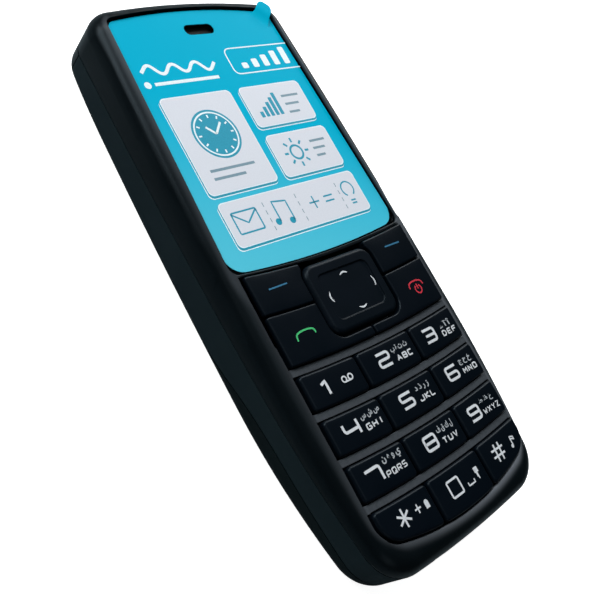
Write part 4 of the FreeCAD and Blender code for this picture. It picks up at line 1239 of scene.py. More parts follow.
@dataclass(frozen=True)
class Script:
    """Small letters of a second alphabet, set from the built-in typeface."""

    text: str
    centre: Point
    width: float
    height: float = 1.3
    weight: float = 0.045
    set_size: ClassVar[float] = 1.6

    def set(self, bench: Bench, ink: float = 0.02) -> Piece:
        """Sets the letters as a thin closed mesh that fills the given box.

        Args:
            bench: the modelling bench.
            ink: the ink's thickness.

        Returns:
            The letters, lying at height 0.
        """
        bpy.ops.object.select_all(action="DESELECT")
        bpy.ops.object.text_add(location=(0, 0, 0))
        piece = bpy.context.active_object
        piece.data.body = self.text
        piece.data.size = self.set_size * MM
        piece.data.resolution_u = 2
        piece.data.offset = self.weight * MM
        piece.data.extrude = ink / 2 * MM
        piece = bench.solidified(piece, ink / 2)
        xs = [v.co.x for v in piece.data.vertices]
        ys = [v.co.y for v in piece.data.vertices]
        wide, high = self.width * MM / (max(xs) - min(xs)), self.height * MM / (max(ys) - min(ys))
        piece.data.transform(Matrix.Translation((self.centre[0] * MM, self.centre[1] * MM, 0.0))
                             @ Matrix.Diagonal((wide, high, 1.0, 1.0))
                             @ Matrix.Translation((-(max(xs) + min(xs)) / 2, -(max(ys) + min(ys)) / 2, 0.0)))
        return piece


# ---- housings ------------------------------------------------------------------------
@dataclass
class Housings:
    """Front and rear housing, battery cover and end cap.

    The seam's edges lie at least seam_under below the face and within wall_reach of the outline. The level
    part of an outer wall's normal is at least wall_lean, and its dot product with the seam's normal is at
    most seam_turn.
    """

    bench: Bench
    face: float = 13.7
    lip: float = 0.16
    rim: float = 0.25
    rim_cuts: int = 4
    chamfer: float = 0.14
    field_low: float = -44.5
    seam_under: float = 2.0
    seam_turn: float = 0.5
    wall_reach: float = 0.6
    wall_lean: float = 0.3

    def build(self) -> None:
        """Builds and dresses the four outer mouldings."""
        self.front()
        for node in ("rear_housing", "battery_cover", "top_cap"):
            piece = self.bench.skin(node)
            if node == "rear_housing":
                self.groove(piece, lambda normal: normal.z < -0.5 or normal.y > 0.9)
            self.bench.smooth(piece, 34.0)
            self.bench.cover(node, piece)

    def groove(self, piece: Piece, seam: Callable[[Vector], bool]) -> None:
        """Chamfers a seam's outer edges, so that the seam shows as a fine dark groove.

        Args:
            piece: the housing part.
            seam: tells by a face's normal whether the face belongs to the seam.
        """
        spots = np.array([tuple(vertex.co)[:2] for vertex in piece.data.vertices])
        angles = np.radians(np.arange(360.0))
        ways = np.stack((np.cos(angles), np.sin(angles)))
        reach = (spots @ ways).max(axis=0)

        def outermost(wall: bmesh.types.BMFace, spot: Vector) -> bool:
            """Tells whether a wall is the outer one at a spot.

            Args:
                wall: the wall's face.
                spot: the spot.

            Returns:
                Whether it is.
            """
            if math.hypot(wall.normal.x, wall.normal.y) < self.wall_lean:
                return False
            way = round(math.degrees(math.atan2(wall.normal.y, wall.normal.x))) % 360
            return reach[way] - spot.x * ways[0][way] - spot.y * ways[1][way] < self.wall_reach * MM

        def on_seam(edge: bmesh.types.BMEdge) -> bool:
            """Tells an edge between the outer wall and a face of the seam.

            Args:
                edge: the edge.

            Returns:
                Whether it is one.
            """
            if len(edge.link_faces) != 2:
                return False
            spot = (edge.verts[0].co + edge.verts[1].co) / 2
            first, second = edge.link_faces
            if spot.z > (self.face - self.seam_under) * MM:
                return False
            if first.normal.dot(second.normal) > self.seam_turn:
                return False
            return any(seam(face.normal) and outermost(wall, spot)
                       for wall, face in ((first, second), (second, first)))

        with self.bench.editing(piece, "EDGE"):
            found = self.bench.pick(piece, "edges", on_seam)
            bpy.ops.mesh.bevel(offset=self.chamfer * MM, segments=1, affect="EDGES", clamp_overlap=False)
            log.info("%s: %d seam edges chamfered", piece.name, found)

    def front(self) -> None:
        """Rounds the front housing's inner edges, as a polished tool leaves them."""
        piece = self.bench.skin("front_housing")
        self.groove(piece, lambda normal: normal.z < -0.5)
        top = self.face * MM
        shape = bmesh.new()
        shape.from_mesh(piece.data)
        shape.normal_update()
        weights = shape.edges.layers.float.new("bevel_weight_edge")
        found = 0
        for edge in shape.edges:
            if len(edge.link_faces) != 2 or any(abs(v.co.z - top) > SLACK for v in edge.verts):
                continue
            tilts = sorted(abs(face.normal.z) for face in edge.link_faces)
            if tilts[0] < 0.2 and tilts[1] > 0.99:
                spot = (edge.verts[0].co + edge.verts[1].co) / 2
                rim = spot.y < self.field_low * MM or spot.y > 0.0
                edge[weights] = 1.0 if rim else self.lip / self.rim
                found += 1
        shape.to_mesh(piece.data)
        shape.free()
        modifier = piece.modifiers.new("lip", "BEVEL")
        modifier.width, modifier.segments = self.rim * MM, self.rim_cuts
        modifier.limit_method = "WEIGHT"
        modifier.use_clamp_overlap = False
        self.bench.take(piece)
        bpy.ops.object.modifier_apply(modifier=modifier.name)
        log.info("front housing: %d lip edges rounded", found)
        self.bench.smooth(piece, 40.0)
        self.bench.cover("front_housing", piece)


# ---- keypad --------------------------------------------------------------------------
@dataclass(frozen=True)
class Legend:
    """What is printed on one key."""

    figure: tuple[Stroke, ...] = ()
    letters: str = ""
    letters_at: Point = (0.0, 0.0)
    script: Optional[Script] = None
    marks: tuple[Stroke, ...] = ()
    fine: tuple[Stroke, ...] = ()


@dataclass
class Keypad:
    """Sixteen crowned keys with their printed legends.

    Words of more than three letters are set tighter: tight holds the shares of the pitch, the letters' width
    and the nib that they keep. Ink drops from the height drop and comes to rest ink_gap over the key.
    """

    bench: Bench
    crown: float = 0.10
    crown_power: float = 0.75
    crown_rounds: int = 160
    grid: float = 0.8
    figure_size: Point = (2.75, 2.2)
    figure_nib: float = 0.47
    letter_size: Point = (0.88, 0.86)
    letter_pitch: float = 1.42
    fine_nib: float = 0.36
    letter_nib: float = 0.25
    mark_nib: float = 0.25
    bar_nib: float = 0.26
    handset_nib: float = 0.29
    tight: tuple[float, float, float] = (0.88, 0.9, 0.8)
    drop: float = 20.0
    ink_gap: float = 0.004

    def build(self) -> None:
        """Builds the keys and prints each one."""
        legends = self.legends()
        figures = [f"key_{name}" for name in (*range(1, 10), "star", 0, "hash")]
        for node in (*figures, "soft_key_left", "soft_key_right", "call_key", "end_key"):
            key = self.key(node)
            if node in legends:
                self.print_key(node, key, legends[node])
        self.colour_marks()

    def key(self, node: str) -> Piece:
        """Gives one key its softly crowned top.

        Args:
            node: the key's node.

        Returns:
            The finished key.
        """
        piece = self.bench.skin(node)
        low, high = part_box(node)
        top = high.z

        def on_top(face: bmesh.types.BMFace) -> bool:
            """Tells a face of the flat top."""
            return face.normal.z > FACES_UP and face.calc_center_median().z > top - SLACK

        with self.bench.editing(piece):
            for axis in (0, 1):
                span = high[axis] - low[axis]
                cuts = max(2, round(span / (self.grid * MM)))
                for cut in range(1, cuts):
                    self.bench.pick(piece, "faces", on_top)
                    spot = [0.0, 0.0, top]
                    spot[axis] = low[axis] + span * cut / cuts
                    normal = (1.0, 0.0, 0.0) if axis == 0 else (0.0, 1.0, 0.0)
                    bpy.ops.mesh.bisect(plane_co=spot, plane_no=normal)
        self.raise_crown(piece, top)
        self.bench.smooth(piece, 30.0)
        return self.bench.cover(node, piece)

    def raise_crown(self, piece: Piece, top: float) -> None:
        """Lifts the inside of the flat top like a stretched skin.

        Args:
            piece: the key, whose top is divided.
            top: the flat top's height.
        """
        mesh = piece.data
        level = {v.index for v in mesh.vertices if v.co.z > top - SLACK}
        rim: set[int] = set()
        near: dict[int, set[int]] = {index: set() for index in level}
        for face in mesh.polygons:
            if face.normal.z < FACES_UP or not all(index in level for index in face.vertices):
                rim.update(index for index in face.vertices if index in level)
        for edge in mesh.edges:
            first, second = edge.vertices
            if first in level and second in level:
                near[first].add(second)
                near[second].add(first)
        inner = [index for index in level if index not in rim and near[index]]
        rise = {index: 0.0 for index in level}
        for _ in range(self.crown_rounds):
            for index in inner:
                rise[index] = sum(rise[other] for other in near[index]) / len(near[index]) + 1.0
        highest = max((rise[index] for index in inner), default=1.0)
        for index in inner:
            mesh.vertices[index].co.z += self.crown * MM * (rise[index] / highest) ** self.crown_power

    def legends(self) -> dict[str, Legend]:
        """Lists what each key carries.

        Returns:
            Node name and legend.
        """
        return {
            "key_1": Legend(self.figure("1", (-15.2, -20.85)), marks=(
                ring((-11.25, -20.9), 0.46), ring((-9.85, -20.9), 0.46),
                line((-11.25, -21.36), (-9.85, -21.36)))),
            "key_2": Legend(self.figure("2", (-1.6, -21.0)), "ABC", (3.15, -21.8),
                            Script("ب ة ت ث", (2.75, -20.2), 4.2)),
            "key_3": Legend(self.figure("3", (10.9, -20.85)), "DEF", (15.95, -21.65),
                            Script("ء آ أ", (15.7, -20.1), 3.2)),
            "key_4": Legend(self.figure("4", (-14.75, -28.0), (3.0, 2.25)), "GHI", (-10.0, -28.95),
                            Script("س ش ص", (-10.0, -27.2), 4.4, 1.25)),
            "key_5": Legend(self.figure("5", (-1.6, -28.45)), "JKL", (3.1, -29.3),
                            Script("د ذ ر ز", (2.9, -27.6), 3.6)),
            "key_6": Legend(self.figure("6", (11.1, -28.25)), "MNO", (15.8, -28.95),
                            Script("ج ح خ", (15.5, -27.3), 3.5)),
            "key_7": Legend(self.figure("7", (-15.2, -35.6), (3.1, 2.25)), "PQRS", (-10.6, -36.45),
                            Script("ن ه و ي", (-10.4, -34.5), 4.4, 1.45)),
            "key_8": Legend(self.figure("8", (-1.6, -36.0)), "TUV", (3.0, -36.9),
                            Script("ف ق ك ل", (2.8, -35.0), 4.2, 1.4)),
            "key_9": Legend(self.figure("9", (10.9, -35.9)), "WXYZ", (15.5, -36.6),
                            Script("ط ظ ع", (15.1, -34.85), 3.9, 1.35)),
            "key_star": Legend(fine=self.star((-14.1, -43.0), 1.45), marks=(
                line((-11.55, -43.05), (-10.15, -43.05)), line((-10.85, -43.75), (-10.85, -42.35)),
                *self.filled(-9.2, -8.3, -43.75, -42.95), ring((-8.75, -42.95), 0.3, 0.0, 180.0, 8))),
            "key_0": Legend(fine=self.figure("0", (-1.75, -43.8), (2.8, 2.6)), marks=(
                line((1.25, -44.4), (1.25, -44.95), (2.9, -44.95), (2.9, -44.4), rounded=False),
                *self.filled(3.75, 4.75, -43.75, -43.1), line((4.25, -43.7), (4.25, -44.95)),
                line((4.1, -43.8), (4.1, -44.6)))),
            "key_hash": Legend(fine=(
                line((10.55, -44.85), (10.85, -41.85)), line((11.75, -44.85), (12.05, -41.85)),
                line((9.65, -42.75), (12.85, -42.75)), line((9.55, -43.85), (12.75, -43.85))),
                marks=(line((15.45, -43.9), (15.45, -42.35), (16.35, -42.6), (16.35, -43.2), rounded=False),
                       ring((15.2, -43.95), 0.22, count=12), line((15.5, -42.75), (16.35, -43.0)),
                       ring((15.2, -43.95), 0.08, count=12))),
        }

    def filled(self, left: float, right: float, low: float, high: float) -> list[Stroke]:
        """Fills a small box with level strokes.

        Args:
            left: its left edge.
            right: its right edge.
            low: its lower edge.
            high: its upper edge.

        Returns:
            The strokes, which overlap a little.
        """
        rows = math.ceil((high - low) / (0.8 * self.mark_nib))
        heights = [low + (high - low) * row / rows for row in range(rows + 1)]
        return [line((left, height), (right, height)) for height in heights]

    def figure(self, name: str, centre: Point, size: Optional[Point] = None) -> tuple[Stroke, ...]:
        """Places one figure round its middle.

        Args:
            name: the figure.
            centre: its middle.
            size: its width and height, if they differ from the others'.

        Returns:
            Its strokes.
        """
        width, height = size or self.figure_size
        origin = (centre[0] - width / 2, centre[1] - height / 2)
        return tuple(stroke.placed(origin, (width, height)) for stroke in FIGURES[name])

    def star(self, centre: Point, reach: float) -> tuple[Stroke, ...]:
        """Draws a six-armed star.

        Args:
            centre: its middle.
            reach: length of an arm.

        Returns:
            Its three strokes.
        """
        return tuple(spoke(centre, -reach, reach, angle) for angle in (90.0, 30.0, 150.0))

    def word(self, letters: str, centre: Point) -> list[Stroke]:
        """Sets a row of capitals round its middle.

        Args:
            letters: the capitals.
            centre: the row's middle.

        Returns:
            The strokes of all the letters.
        """
        width, height = self.letter_size
        pitch_share, width_share, _ = self.tight if len(letters) > 3 else (1.0, 1.0, 1.0)
        pitch, width = self.letter_pitch * pitch_share, width * width_share
        start = centre[0] - pitch * (len(letters) - 1) / 2 - width / 2
        strokes: list[Stroke] = []
        for place, letter in enumerate(letters):
            origin = (start + place * pitch, centre[1] - height / 2)
            strokes.extend(stroke.placed(origin, (width, height)) for stroke in CAPITALS[letter])
        return strokes

    def print_key(self, node: str, key: Piece, legend: Legend) -> None:
        """Prints one key's legend on its crown.

        Args:
            node: the key's node.
            key: the finished key.
            legend: what to print.
        """
        bench = self.bench
        word = self.word(legend.letters, legend.letters_at)
        letter_nib = self.letter_nib * (self.tight[2] if len(legend.letters) > 3 else 1.0)
        parts = ((self.figure_nib, 0.5, legend.figure), (self.fine_nib, 0.0, legend.fine),
                 (letter_nib, 0.2, word), (self.mark_nib, 0.12, legend.marks))
        printed = [Pen(bench, nib, corner=corner).draw(strokes) for nib, corner, strokes in parts if strokes]
        self.lay(bench.join(printed), key, node, "legend_" + node, Palette.LEGEND)
        if legend.script:
            self.lay(legend.script.set(bench), key, node, "script_" + node, Palette.LEGEND_FINE)

    def lay(self, piece: Piece, key: Piece, node: str, name: str,
            finish: Palette) -> None:
        """Lays flat ink on a key so that it follows the crown.

        Args:
            piece: the ink, lying at height 0.
            key: the key under it.
            node: the key's node.
            name: the ink's name.
            finish: its colour.
        """
        for vertex in piece.data.vertices:
            start = Vector((vertex.co.x, vertex.co.y, self.drop * MM))
            hit, spot, _, _ = key.ray_cast(start, Vector((0, 0, -1)))
            if hit:
                vertex.co.z += spot.z + self.ink_gap * MM
        self.bench.dress(piece, finish)
        self.bench.mount(piece, name, self.bench.bodies[node], self.bench.slots[node])

    def colour_marks(self) -> None:
        """Prints the blue bars, the green handset and the red handset with its switch sign."""
        for node, side in (("soft_key_left", -1.0), ("soft_key_right", 1.0)):
            bar = line((side * 12.1, -3.6), (side * 16.0, -3.6))
            self.mark(node, "bar_" + node, Palette.BLUE_INK, Pen(self.bench, self.bar_nib, corner=0.0), [bar])
        pen = Pen(self.bench, self.handset_nib, corner=0.9)
        self.mark("call_key", "handset_green", Palette.GREEN_INK, pen, [
            line((-15.75, -12.75), (-15.6, -11.75), (-14.6, -11.45), (-12.8, -11.45), (-11.85, -11.75),
                 (-11.7, -12.5))])
        self.mark("end_key", "handset_red", Palette.RED_INK, pen, [
            line((12.35, -12.3), (12.45, -11.5), (13.3, -11.15), (15.0, -11.15), (15.85, -11.5),
                 (16.0, -12.2)),
            ring((14.3, -12.75), 0.78, 120.0, 300.0, 20), line((14.3, -12.7), (14.3, -11.75))])

    def mark(self, node: str, name: str, finish: Palette, pen: Pen, strokes: Sequence[Stroke]) -> None:
        """Draws strokes in one ink and lays them on a finished key.

        Args:
            node: the key's node.
            name: the mark's name.
            finish: its ink.
            pen: the pen.
            strokes: what to draw.
        """
        self.lay(pen.draw(strokes), bpy.data.objects[node + "_skin"], node, name, finish)


@dataclass
class Rocker:
    """The square rocker key with its sunk middle and four printed sickles."""

    bench: Bench
    centre: Point = (0.0, -8.3)
    inner: Point = (12.2, 8.4)
    depth: float = 0.3
    ridge_share: float = 0.9
    ridge_cuts: int = 5
    around: float = 0.2
    ink: float = 0.02
    ink_gap: float = 0.004
    sickles: tuple[tuple[float, float, float], ...] = ((0.1, 2.95, 90.0), (5.5, 0.0, 0.0),
                                                       (0.5, -3.15, 270.0), (-4.8, 0.0, 180.0))
    sickle: tuple[float, float, float] = (0.98, 0.46, 0.3)

    def build(self) -> None:
        """Builds the key and its print."""
        key = self.key()
        self.marks(key)

    def key(self) -> Piece:
        """Softens the ridge round the sunk middle.

        Returns:
            The finished key.
        """
        piece = self.bench.skin("rocker_key")
        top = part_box("rocker_key")[1].z

        def ridge(edge: bmesh.types.BMEdge) -> bool:
            """Tells an edge of the opening of the sunk middle.

            Args:
                edge: the edge.

            Returns:
                Whether it is one.
            """
            if len(edge.link_faces) != 2 or min(abs(face.normal.z) for face in edge.link_faces) >= 0.5:
                return False
            wide, high = ((size / 2 + self.around) * MM for size in self.inner)
            middle = self.centre[1] * MM
            return all(abs(v.co.z - top) < SLACK and abs(v.co.x) < wide and abs(v.co.y - middle) < high
                       for v in edge.verts)

        with self.bench.editing(piece, "EDGE"):
            found = self.bench.pick(piece, "edges", ridge)
            bpy.ops.mesh.bevel(offset=self.depth * self.ridge_share * MM, segments=self.ridge_cuts,
                               affect="EDGES", clamp_overlap=True)
            log.info("rocker: %d ridge edges rounded", found)
        self.bench.smooth(piece, 36.0)
        return self.bench.cover("rocker_key", piece)

    def marks(self, key: Piece) -> None:
        """Prints four sickles whose horns point inwards.

        Args:
            key: the finished rocker; not used.
        """
        pieces = []
        half, swell, nib = self.sickle
        for x, y, heading in self.sickles:
            turn = math.radians(heading - 90.0)
            sweep = [-half + 2 * half * part / 16 for part in range(17)]
            outline = [(u, swell * (1 - (u / half) ** 2)) for u in sweep]
            outline += [(u, v - nib * (1 - (u / half) ** 4)) for u, v in outline[-2:0:-1]]
            turned = [(self.centre[0] + x + u * math.cos(turn) - v * math.sin(turn),
                       self.centre[1] + y + u * math.sin(turn) + v * math.cos(turn)) for u, v in outline]
            pieces.append(self.bench.shape(turned, 0.0, self.ink))
        marks = self.bench.join(pieces)
        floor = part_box("rocker_key")[1].z - self.depth * MM
        for vertex in marks.data.vertices:
            vertex.co.z += floor + self.ink_gap * MM
        self.bench.dress(marks, Palette.LEGEND)
        self.bench.mount(marks, "rocker_sickles", "rocker_key", "rocker_black")


# ---- window and film -----------------------------------------------------------------
@dataclass
class Window:
    """The clear window, and the printed film that covers it when the phone is new.

    film_side is the film's half width at its lower end, how much that shrinks per millimetre upwards, and the
    radius of the bow of the lower end. The pull tab starts at tab_root, is what lies more than tab_rise over
    the film, and keeps tab_share of its width.
    Edges are left, right, low and high. Each of panel_inks has a name, a finish, its height over the film and
    how far its edges lie from the panel's.
    """

    bench: Bench
    film_top: float = 13.0
    ink_gap: float = 0.002
    corner: float = 3.3
    corner_rounds: int = 8
    corner_runs: int = 24
    margin: float = 2.0
    film_side: Place = (19.93, 0.0425, 170.0)
    tab_root: Point = (14.6, 45.7)
    tab_rise: float = 0.02
    tab_share: float = 0.74
    dial_centre: Point = (-8.4, 24.6)
    sun_centre: Point = (6.2, 18.3)
    panel_corner: float = 1.0
    panel_edges: tuple[Edges, ...] = (
        (-16.0, -1.0, 14.0, 32.4), (1.0, 15.6, 24.2, 32.4), (1.0, 15.8, 14.0, 22.4), (-15.8, 16.0, 4.4, 12.5))
    panel_inks: tuple[tuple[str, Palette, float, Edges], ...] = (
        ("print_lines", Palette.PRINT_WHITE, 0.008, (-0.42, -0.20, -0.62, -0.3)),
        ("print_shades", Palette.PRINT_TEAL, 0.012, (-0.27, -0.1, -0.46, -0.1)),
        ("print_edges", Palette.PRINT_WHITE, 0.016, (-0.05, 0.05, -0.05, 0.05)),
        ("print_panels", Palette.PRINT_PANEL, 0.020, (0.1, -0.1, 0.1, -0.1)))

    def build(self) -> None:
        """Builds window, film and the print on it."""
        for node in ("display_lens", "screen_film"):
            piece = self.bench.skin(node)
            if node == "screen_film":
                self.trim(piece)
            self.bench.smooth(piece, 30.0)
            self.bench.cover(node, piece)
        self.panels()
        self.header()
        self.dial()
        self.signs()

    def waste(self) -> list[Point]:
        """Outlines what is cut off at the film's right lower corner.

        The middle of the corner's arc lies a radius inside the leaning side and the bowed lower end. Each
        round works out one of its distances from the other.

        Returns:
            The outline's points.
        """
        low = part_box("screen_film")[0].y / MM
        half, taper, bow = self.film_side
        radius, margin = self.corner, self.margin
        x, y = half - radius, low + radius
        for _ in range(self.corner_rounds):
            y = low + bow - math.sqrt((bow - radius) ** 2 - x * x)
            x = half - taper * (y - low - half * half / 2 / bow) - radius
        side, base = math.atan(taper), math.atan2(y - low - bow, x)
        arc = [side + (base - side) * part / self.corner_runs for part in range(self.corner_runs + 1)]
        rim = [(x + radius * math.cos(a), y + radius * math.sin(a)) for a in arc]
        return [*rim, (rim[-1][0], rim[-1][1] - margin), (x + radius + margin, y - radius - margin),
                (rim[0][0] + margin, rim[0][1])]

    def trim(self, piece: Piece) -> None:
        """Rounds the film's two lower corners and narrows its pull tab.

        Args:
            piece: the film's skin.
        """
        waste = self.waste()
        for mirror in (1.0, -1.0):
            cutter = self.bench.shape([(mirror * x, y) for x, y in waste], self.film_top - self.margin / 2,
                                      self.film_top + self.margin / 2)
            modifier = piece.modifiers.new("corner", "BOOLEAN")
            modifier.operation, modifier.solver, modifier.object = "DIFFERENCE", "EXACT", cutter
            self.bench.take(piece)
            bpy.ops.object.modifier_apply(modifier=modifier.name)
            bpy.data.objects.remove(cutter)
        root, across = Vector((*self.tab_root, 0.0)) * MM, Vector((1.0, -1.0, 0.0)).normalized()
        for vertex in piece.data.vertices:
            if vertex.co.z > (self.film_top + self.tab_rise) * MM:
                flat = Vector((vertex.co.x, vertex.co.y, 0.0)) - root
                vertex.co -= across * flat.dot(across) * (1.0 - self.tab_share)
        log.info("film: corners rounded to %.1f mm", self.corner)

    def layer(self, pieces: Sequence[Piece], name: str, finish: Palette) -> None:
        """Joins pieces of one ink and mounts them on the film.

        Args:
            pieces: the pieces.
            name: the layer's name.
            finish: its ink.
        """
        piece = self.bench.join(pieces)
        self.bench.dress(piece, finish)
        self.bench.mount(piece, name, "phone", "printed_film")

    def plate(self, left: float, right: float, low: float, high: float, ink: float,
              corner: Optional[float] = None) -> Piece:
        """Lays one plate of ink between four edges.

        Args:
            left: left edge.
            right: right edge.
            low: lower edge.
            high: upper edge.
            ink: height of its top over the film.
            corner: corner radius, if it differs from the panels'.

        Returns:
            The plate.
        """
        return self.bench.plate(((left + right) / 2, (low + high) / 2), (right - left, high - low),
                                self.panel_corner if corner is None else corner,
                                self.film_top + self.ink_gap, self.film_top + ink)

    def disc(self, centre: Point, radius: float, ink: float, count: int) -> Piece:
        """Lays one round plate of ink.

        Args:
            centre: its middle.
            radius: its radius.
            ink: height of its top over the film.
            count: number of its sides.

        Returns:
            The plate.
        """
        outline = ring(centre, radius, count=count).points
        return self.bench.shape(outline, self.film_top + self.ink_gap, self.film_top + ink)

    def panels(self) -> None:
        """Lays four panels, each with a white edge and a white line beside it."""
        for name, finish, ink, shift in self.panel_inks:
            self.layer([self.plate(*(edge + by for edge, by in zip(edges, shift)), ink)
                        for edges in self.panel_edges], name, finish)

    def header(self) -> None:
        """Lays the head of the print: a lined field of steps, and a wave."""
        pen = Pen(self.bench, width=0.24, ink=0.012, corner=1.4)
        field_line = pen.draw([line((18.2, 40.6), (2.6, 40.6), (2.6, 35.2), (18.6, 35.2))], self.film_top)
        steps = [self.plate(x, x + 1.4, 36.2, 37.4 + step * 0.62, 0.014, 0.3)
                 for step, x in enumerate((5.0, 7.6, 10.2, 12.8, 15.4))]
        wave = Pen(self.bench, width=0.62, ink=0.012, corner=1.6).draw([
            line((-16.4, 37.6), (-14.6, 39.3), (-12.2, 36.4), (-9.8, 39.3), (-7.4, 36.4), (-5.0, 39.3),
                 (-2.6, 36.4), (-0.8, 38.2)), ring((-16.4, 35.2), 0.35, count=16),
            line((-15.0, 35.2), (-1.4, 35.2))], self.film_top)
        self.layer([field_line, *steps, wave], "print_header", Palette.PRINT_WHITE)

    def dial(self) -> None:
        """Lays a clock dial and plain lines in the tall panel."""
        x, y = self.dial_centre
        self.layer([self.disc(self.dial_centre, 4.7, 0.024, 72)], "print_dial", Palette.PRINT_TEAL)
        pen = Pen(self.bench, width=0.3, ink=0.03)
        rim = pen.draw([ring(self.dial_centre, 4.15, count=64)], self.film_top)
        ticks = [spoke(self.dial_centre, 3.1, 3.7, 30.0 * hour) for hour in range(12)]
        hours = pen.draw(ticks, self.film_top)
        hands = Pen(self.bench, width=0.42, ink=0.032, corner=0.0).draw([
            line((x, y), (x - 1.5, y + 1.5)), line((x, y), (x + 1.9, y + 2.0))], self.film_top)
        self.layer([rim, hours, hands], "print_dial_marks", Palette.PRINT_WHITE)
        rows = Pen(self.bench, width=0.5, ink=0.024, corner=0.0).draw([
            line((x - 5.2, 18.2), (x + 4.4, 18.2)), line((x - 5.2, 16.7), (x + 1.6, 16.7))], self.film_top)
        self.layer([rows], "print_dial_rows", Palette.PRINT_GREY)

    def signs(self) -> None:
        """Lays the small signs: steps, a sun, an envelope, notes, sums and a lamp, and rows beside them."""
        top = self.film_top
        bars = [self.plate(3.0 + 1.15 * step, 3.8 + 1.15 * step, 26.0, 27.2 + 0.85 * step, 0.026, 0.15)
                for step in range(5)]
        rays = [spoke(self.sun_centre, 2.0, 2.9, 45.0 * ray) for ray in range(8)]
        sun = Pen(self.bench, width=0.42, ink=0.026).draw([ring(self.sun_centre, 1.35, count=40), *rays], top)
        fine = Pen(self.bench, width=0.3, ink=0.026, corner=0.3).draw([
            line((-14.2, 6.6), (-14.2, 10.4), (-9.0, 10.4), (-9.0, 6.6), closed=True),
            line((-14.2, 10.2), (-11.6, 8.2), (-9.0, 10.2), rounded=False),
            line((-5.2, 6.9), (-5.2, 10.6), (-2.2, 10.2), (-2.2, 6.5), rounded=False),
            line((2.6, 8.5), (5.0, 8.5)), line((3.8, 7.3), (3.8, 9.7)), line((6.4, 9.0), (8.6, 9.0)),
            line((6.4, 8.0), (8.6, 8.0)), ring((12.9, 9.2), 1.45, -60.0, 300.0, 30),
            line((12.3, 6.9), (13.5, 6.9)), line((12.3, 6.3), (13.5, 6.3))], top)
        dots = [self.disc(spot, 0.62, 0.026, 24) for spot in ((-5.75, 6.9), (-2.75, 6.5))]
        self.layer([*bars, sun, fine, *dots], "print_signs", Palette.PRINT_TEAL)
        rows = Pen(self.bench, width=0.46, ink=0.024, corner=0.0).draw([
            line((left, height), (right, height)) for left, right, height in (
                (9.8, 14.0, 29.6), (9.8, 13.2, 27.9), (9.8, 12.4, 26.2),
                (10.4, 14.2, 19.8), (10.4, 13.4, 18.3), (10.4, 12.6, 16.8))], top)
        dashes = Pen(self.bench, width=0.16, ink=0.024, corner=0.0).draw([
            line((x, y), (x, y + 0.8)) for x in (-7.1, 0.4, 10.5) for y in (5.6, 7.1, 8.6, 10.1)], top)
        self.layer([rows, dashes], "print_rows", Palette.PRINT_GREY)


